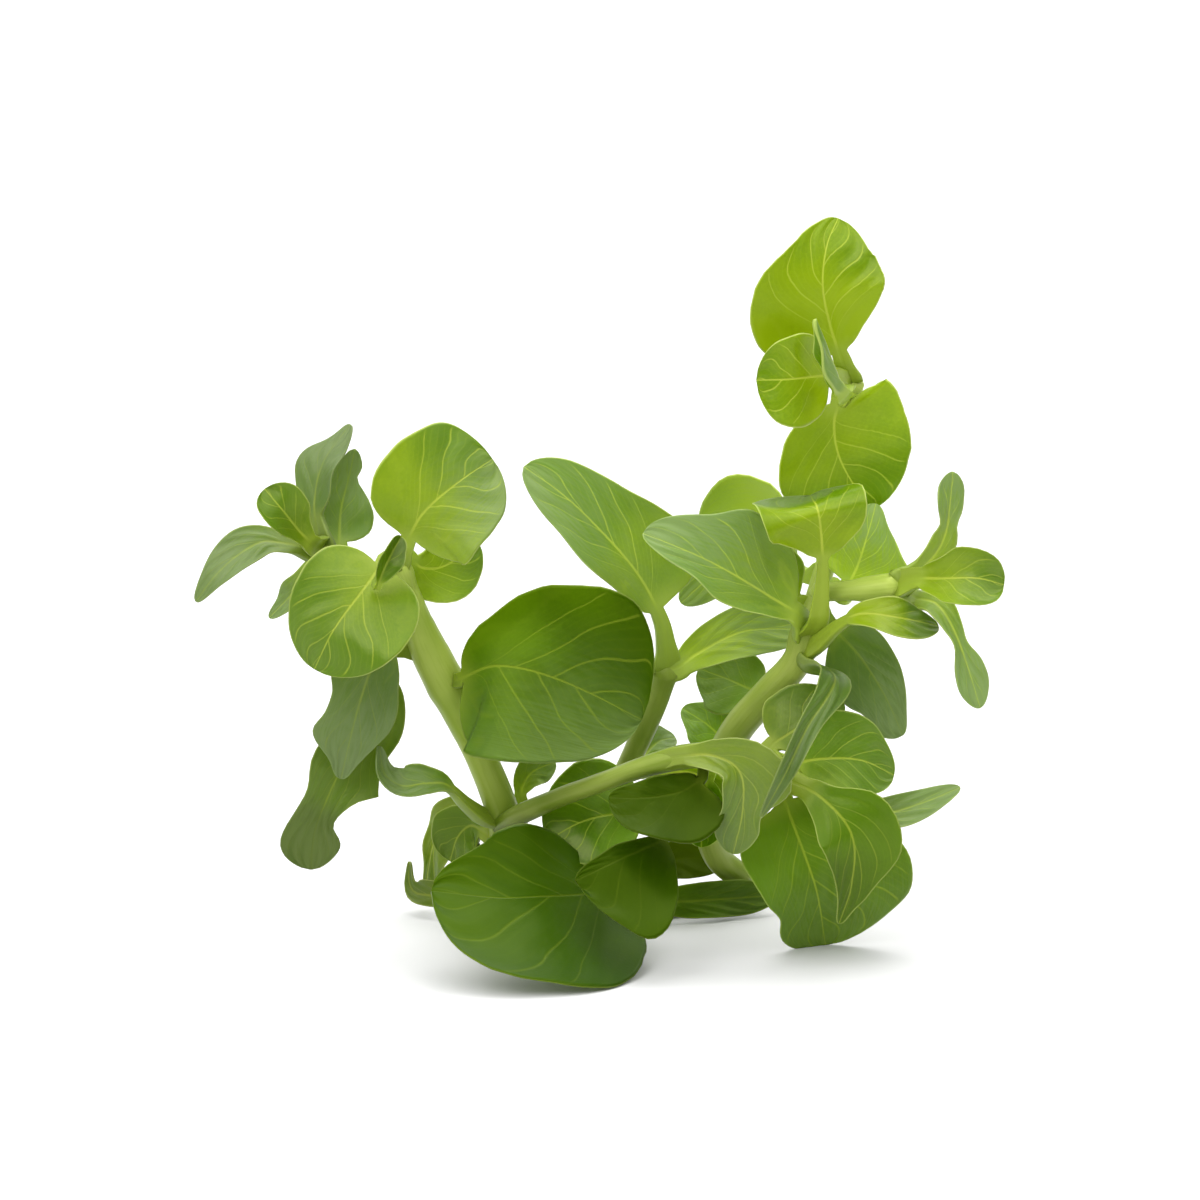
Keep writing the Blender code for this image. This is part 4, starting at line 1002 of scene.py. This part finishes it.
def stem_surface(name, tissue):
    """Stem tissue: pale flesh with fine lengthwise lines and greener shading."""
    surface, board = new_surface(name, tissue.stem)
    along, turn_cos, turn_sin = board.attribute("turn")
    # The second number is the bloom and painted sheen of a leaf, and a stem has none
    greener, _, light = board.attribute("tone")
    around = board.node("ShaderNodeCombineXYZ", None, {
        0: along * STEM_LINE_ALONG,
        1: turn_cos * STEM_LINE_AROUND, 2: turn_sin * STEM_LINE_AROUND})
    lines = board.noise(STEM_LINE_SCALE, around)
    soft = board.noise(CLOUD_SCALE)
    shade = (board.between(soft, *STEM_PATCH) - STEM_PATCH_MIDDLE) * STEM_PATCHES + greener
    shade = shade.math("MINIMUM", 1).math("MAXIMUM", 0)
    colour = board.mix(shade, tissue.stem, tissue.stem_green)
    line = board.between(lines, *STEM_LINE) * STEM_LINE_SHOWS
    colour = board.mix(line, colour, tissue.stem_green)
    rough = tissue.stem_roughness + (lines - 0.5) * STEM_LINE_ROUGHNESS
    # The lightness paints in the light and shade along the stem
    values = {"Base Color": board.scaled(colour, light), "Roughness": rough,
              "Specular Tint": (*tissue.sheen, 1)}
    board.flesh(tissue, values, lines, STEM_BUMP, STEM_GLOW)
    return surface


def colour_setting(name, description, default):
    return FloatVectorProperty(
        name=name, description=description, default=default, subtype="COLOR", min=0.0, max=1.0)


def length_setting(name, description, default):
    return FloatProperty(
        name=name, description=description, default=default, min=0.0, unit="LENGTH")


def share_setting(name, description, default):
    return FloatProperty(
        name=name, description=description, default=default, min=0.0, max=1.0, subtype="FACTOR")


def power_setting(name, description, default):
    return FloatProperty(
        name=name, description=description, default=default, min=0.0, unit="POWER")


def light_setting(name, description, default):
    return FloatProperty(name=name, description=description, default=default, min=0.0)


class Tissue(bpy.types.PropertyGroup):
    """Sizes and colours of the living plant."""

    blade: length_setting("Blade thickness", "Thickness of a leaf between its veins", 0.00045)
    rib: length_setting("Midrib depth", "How far the midrib stands out below the leaf", 0.00055)
    petiole: length_setting("Petiole depth", "Extra thickness of the leaf stalk", 0.0012)
    quilt: length_setting("Quilting", "How far the panels between the veins swell", 0.00014)
    furrow: length_setting("Midrib furrow", "Depth of the furrow along the upper side", 0.0003)
    deep: colour_setting("Deep green", "Tissue of old, shaded leaves", (0.03, 0.085, 0.0006))
    fresh: colour_setting("Fresh green", "Tissue of grown leaves", (0.10, 0.22, 0.001))
    young: colour_setting(
        "Young green", "Tissue of young leaves at the shoot tips", (0.30, 0.43, 0.002))
    # Grey bloom, which also paints the sheen of upper sides seen at a grazing angle
    bloom_and_sheen: colour_setting(
        "Grey bloom", "Waxy bloom on undersides and hanging leaves", (0.19, 0.28, 0.09))
    vein: colour_setting("Veins", "Midrib and side veins", (0.5, 0.6, 0.05))
    # Painted light: the thin margin as it looks lit through
    rim: colour_setting("Rim", "Thin margin of the leaf", (0.55, 0.66, 0.14))
    foot: colour_setting("Petiole", "Leaf stalk and the foot of the blade", (0.35, 0.47, 0.04))
    stem: colour_setting("Stem", "Pale flesh of the stems", (0.36, 0.45, 0.08))
    stem_green: colour_setting("Stem lines", "Greener lines along the stems", (0.16, 0.26, 0.01))
    through: colour_setting(
        "Light through", "Colour of light that passes through a leaf", (0.62, 0.8, 0.01))
    sheen: colour_setting("Sheen", "Tint of the gloss on grown leaves and stems", (1.0, 0.97, 0.5))
    grey_sheen: colour_setting(
        "Grey sheen", "Tint of the gloss on leaves with a grey bloom", (1.0, 1.0, 0.8))
    deep_sheen: colour_setting(
        "Deep sheen", "Tint of the gloss on old, shaded leaves", (0.6, 0.85, 0.06))
    gloss: share_setting("Gloss", "How strongly grown leaves shine", 0.5)
    grey_gloss: share_setting("Grey gloss", "How strongly leaves with a grey bloom shine", 0.6)
    deep_gloss: share_setting("Deep gloss", "How strongly old, shaded leaves shine", 0.35)
    glow: share_setting("Glow", "Share of the light that passes through a leaf", 0.22)
    leaf_roughness: share_setting("Leaf roughness", "0 is a mirror and 1 is chalk", 0.32)
    stem_roughness: share_setting("Stem roughness", "0 is a mirror and 1 is chalk", 0.34)


def surface_of(slot, context):
    """The tissue of one slot, made once."""
    name = slot + "_tissue"
    found = bpy.data.materials.get(name)
    if found:
        return found
    tissue = context.scene.creeping_jenny
    if slot == "stem":
        return stem_surface(name, tissue)
    sheen, gloss = {
        "fresh_leaf": (tissue.sheen, tissue.gloss),
        "grey_leaf": (tissue.grey_sheen, tissue.grey_gloss),
        "deep_leaf": (tissue.deep_sheen, tissue.deep_gloss)}[slot]
    return leaf_surface(name, tissue, sheen, gloss)


def add_object(name, data, context):
    """Link a new object, which stays at the origin until it is placed."""
    made = bpy.data.objects.new(name, data)
    context.scene.collection.objects.link(made)
    return made


def mesh_object(name, mesh, surface, context):
    """An object from a finished mesh with one material."""
    data = bpy.data.meshes.new(name)
    mesh.to_mesh(data)
    mesh.free()
    data.shade_smooth()
    data.materials.append(surface)
    return add_object(name, data, context)


def add_piece(name, mesh, slot, context):
    """Link a finished leaf or stem, and let it stand for its solid."""
    piece = mesh_object(name + "_dressed", mesh, surface_of(slot, context), context)
    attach(piece, "root")
    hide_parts(name)


def add_leaves(leaves, context):
    """Every leaf of one shoot."""
    for name, leaf in leaves.items():
        mesh = leaf_mesh(leaf, context.scene.creeping_jenny)
        tint_leaf(leaf, mesh)
        add_piece(name, mesh, leaf.slot, context)


class JENNY_OT_stems(bpy.types.Operator):
    """Make the creeping stem and the shoots that rise from it"""
    bl_idname = "creeping_jenny.stems"
    bl_label = "Stems"

    def execute(self, context):
        for name, stem in STEMS.items():
            mesh = stem_mesh(stem)
            tint_stem(stem, mesh)
            add_piece(name, mesh, "stem", context)
        return {"FINISHED"}


class JENNY_OT_left_leaves(bpy.types.Operator):
    """Make the leaves of the left shoot"""
    bl_idname = "creeping_jenny.left_leaves"
    bl_label = "Left leaves"

    def execute(self, context):
        add_leaves(LEFT_LEAVES, context)
        return {"FINISHED"}


class JENNY_OT_centre_leaves(bpy.types.Operator):
    """Make the leaves of the centre shoot"""
    bl_idname = "creeping_jenny.centre_leaves"
    bl_label = "Centre leaves"

    def execute(self, context):
        add_leaves(CENTRE_LEAVES, context)
        return {"FINISHED"}


class JENNY_OT_right_leaves(bpy.types.Operator):
    """Make the leaves of the right shoot"""
    bl_idname = "creeping_jenny.right_leaves"
    bl_label = "Right leaves"

    def execute(self, context):
        add_leaves(RIGHT_LEAVES, context)
        return {"FINISHED"}


class JENNY_OT_top_leaves(bpy.types.Operator):
    """Make the leaves of the top shoot"""
    bl_idname = "creeping_jenny.top_leaves"
    bl_label = "Top leaves"

    def execute(self, context):
        add_leaves(TOP_LEAVES, context)
        return {"FINISHED"}


class JENNY_OT_low_leaves(bpy.types.Operator):
    """Make the leaves of the low shoot"""
    bl_idname = "creeping_jenny.low_leaves"
    bl_label = "Low leaves"

    def execute(self, context):
        add_leaves(LOW_LEAVES, context)
        return {"FINISHED"}


class JENNY_OT_foot_leaves(bpy.types.Operator):
    """Make the leaves at the foot of the clump"""
    bl_idname = "creeping_jenny.foot_leaves"
    bl_label = "Foot leaves"

    def execute(self, context):
        add_leaves(FOOT_LEAVES, context)
        return {"FINISHED"}


class Studio(bpy.types.PropertyGroup):
    """The plain stage around the plant."""

    floor: colour_setting("Floor", "Colour of the floor and the sweep behind it", (0.6, 0.6, 0.6))
    sky: light_setting("Room light", "Even light from all sides", 0.06)
    sky_above: light_setting("Light from above", "Soft light of the ceiling", 2.8)
    sky_behind: light_setting("Light from behind", "Soft light of the wall behind", 0.3)
    sky_left: light_setting("Light from the left wall", "Soft light of the wall at the left", 0.3)
    above: power_setting("Lamp above", "Power of the wide lamp above the plant", 1.5)
    side: power_setting("Lamp at the left", "Power of the soft lamp at the left", 2.8)
    lens: FloatProperty(
        name="Lens", description="Focal length of the camera",
        default=400.0, min=1.0, unit="CAMERA")


def add_floor(studio, context):
    """A flat floor that sweeps up behind the plant."""
    mesh = bmesh.new()
    bmesh.ops.create_grid(mesh, x_segments=1, y_segments=SWEEP_ROWS, size=FLOOR_HALF)
    for vert in mesh.verts:
        past = vert.co.y - SWEEP_START
        if past > 0:
            turn = min(past / SWEEP_RADIUS, pi / 2)
            rise = max(0.0, past - SWEEP_RADIUS * pi / 2)
            vert.co.z = SWEEP_RADIUS * (1 - cos(turn)) + rise
            vert.co.y = SWEEP_START + SWEEP_RADIUS * sin(turn)
    surface, board = new_surface("floor", studio.floor)
    shader = board.node("ShaderNodeBsdfPrincipled", None, {
        "Base Color": (*studio.floor, 1), "Roughness": FLOOR_ROUGHNESS})
    board.node("ShaderNodeOutputMaterial", None, {"Surface": shader})
    mesh_object("floor", mesh, surface, context)


def add_lamp(name, power, spot, context):
    """A square area light that looks at the plant."""
    data = bpy.data.lights.new(name, "AREA")
    data.energy = power
    data.shape = "SQUARE"
    data.size = LAMP_SIZE
    lamp = add_object(name, data, context)
    lamp.location = spot
    looks = Vector(CAMERA_AIM) - Vector(spot)
    lamp.rotation_euler = looks.to_track_quat("-Z", "Y").to_euler()


def add_camera(studio, context):
    """A camera that sees the plant from VIEW_TILT above level."""
    data = bpy.data.cameras.new("camera")
    data.lens = studio.lens
    camera = add_object("camera", data, context)
    looks = Vector((0, cos(VIEW_TILT), -sin(VIEW_TILT)))
    camera.location = Vector(CAMERA_AIM) - looks * CAMERA_AWAY
    camera.rotation_euler = looks.to_track_quat("-Z", "Y").to_euler()
    context.scene.camera = camera


def studio_world(studio):
    """A room that looks white to the camera, and lights from above, behind and the left."""
    world = bpy.data.worlds.new("studio")
    world.use_nodes = True
    room = Board(world.node_tree)
    # In a world this first output is the direction into the room
    across, depth, height = room.parts(room.node("ShaderNodeTexCoord"))
    above = room.between(height, *CEILING) * studio.sky_above
    behind = room.between(depth, *WALL_BEHIND) * studio.sky_behind
    left = room.between(across * -1, *WALL_LEFT) * studio.sky_left
    glow = above + behind + left + studio.sky
    seen = room.node("ShaderNodeLightPath", output="Is Camera Ray")
    strength = glow + seen * (1 - glow)
    light = room.node("ShaderNodeBackground", None, {"Color": (1, 1, 1, 1), "Strength": strength})
    room.node("ShaderNodeOutputWorld", None, {"Surface": light})
    return world


class JENNY_OT_stage(bpy.types.Operator):
    """Make the pale floor, the soft lights, the room light and the camera"""
    bl_idname = "creeping_jenny.stage"
    bl_label = "Stage"

    def execute(self, context):
        studio = context.scene.jenny_studio
        add_floor(studio, context)
        context.scene.world = studio_world(studio)
        add_lamp("light_above", studio.above, LAMP_ABOVE, context)
        add_lamp("light_left", studio.side, LAMP_LEFT, context)
        add_camera(studio, context)
        context.scene.view_settings.view_transform = "Standard"
        return {"FINISHED"}


class JENNY_PT_panel(bpy.types.Panel):
    """Lists the pieces of the plant and its stage"""
    bl_idname = "JENNY_PT_panel"
    bl_label = "Creeping Jenny"
    bl_space_type = "VIEW_3D"
    bl_region_type = "UI"
    bl_category = "Creeping Jenny"

    def draw(self, context):
        for group in (context.scene.creeping_jenny, context.scene.jenny_studio):
            for key in group.bl_rna.properties.keys():
                if key not in ("rna_type", "name"):
                    self.layout.prop(group, key)
        for operator in OPERATORS:
            self.layout.operator(operator.bl_idname)


OPERATORS = (
    JENNY_OT_stems, JENNY_OT_left_leaves, JENNY_OT_centre_leaves, JENNY_OT_right_leaves,
    JENNY_OT_top_leaves, JENNY_OT_low_leaves, JENNY_OT_foot_leaves, JENNY_OT_stage)
CLASSES = (Tissue, Studio, *OPERATORS, JENNY_PT_panel)


def register():
    for kind in CLASSES:
        bpy.utils.register_class(kind)
    bpy.types.Scene.creeping_jenny = PointerProperty(type=Tissue)
    bpy.types.Scene.jenny_studio = PointerProperty(type=Studio)


def unregister():
    del bpy.types.Scene.jenny_studio
    del bpy.types.Scene.creeping_jenny
    for kind in reversed(CLASSES):
        bpy.utils.unregister_class(kind)


def main():
    register()
    bpy.ops.creeping_jenny.stems()
    bpy.ops.creeping_jenny.left_leaves()
    bpy.ops.creeping_jenny.centre_leaves()
    bpy.ops.creeping_jenny.right_leaves()
    bpy.ops.creeping_jenny.top_leaves()
    bpy.ops.creeping_jenny.low_leaves()
    bpy.ops.creeping_jenny.foot_leaves()
    bpy.ops.creeping_jenny.stage()


if __name__ == "__main__":
    main()
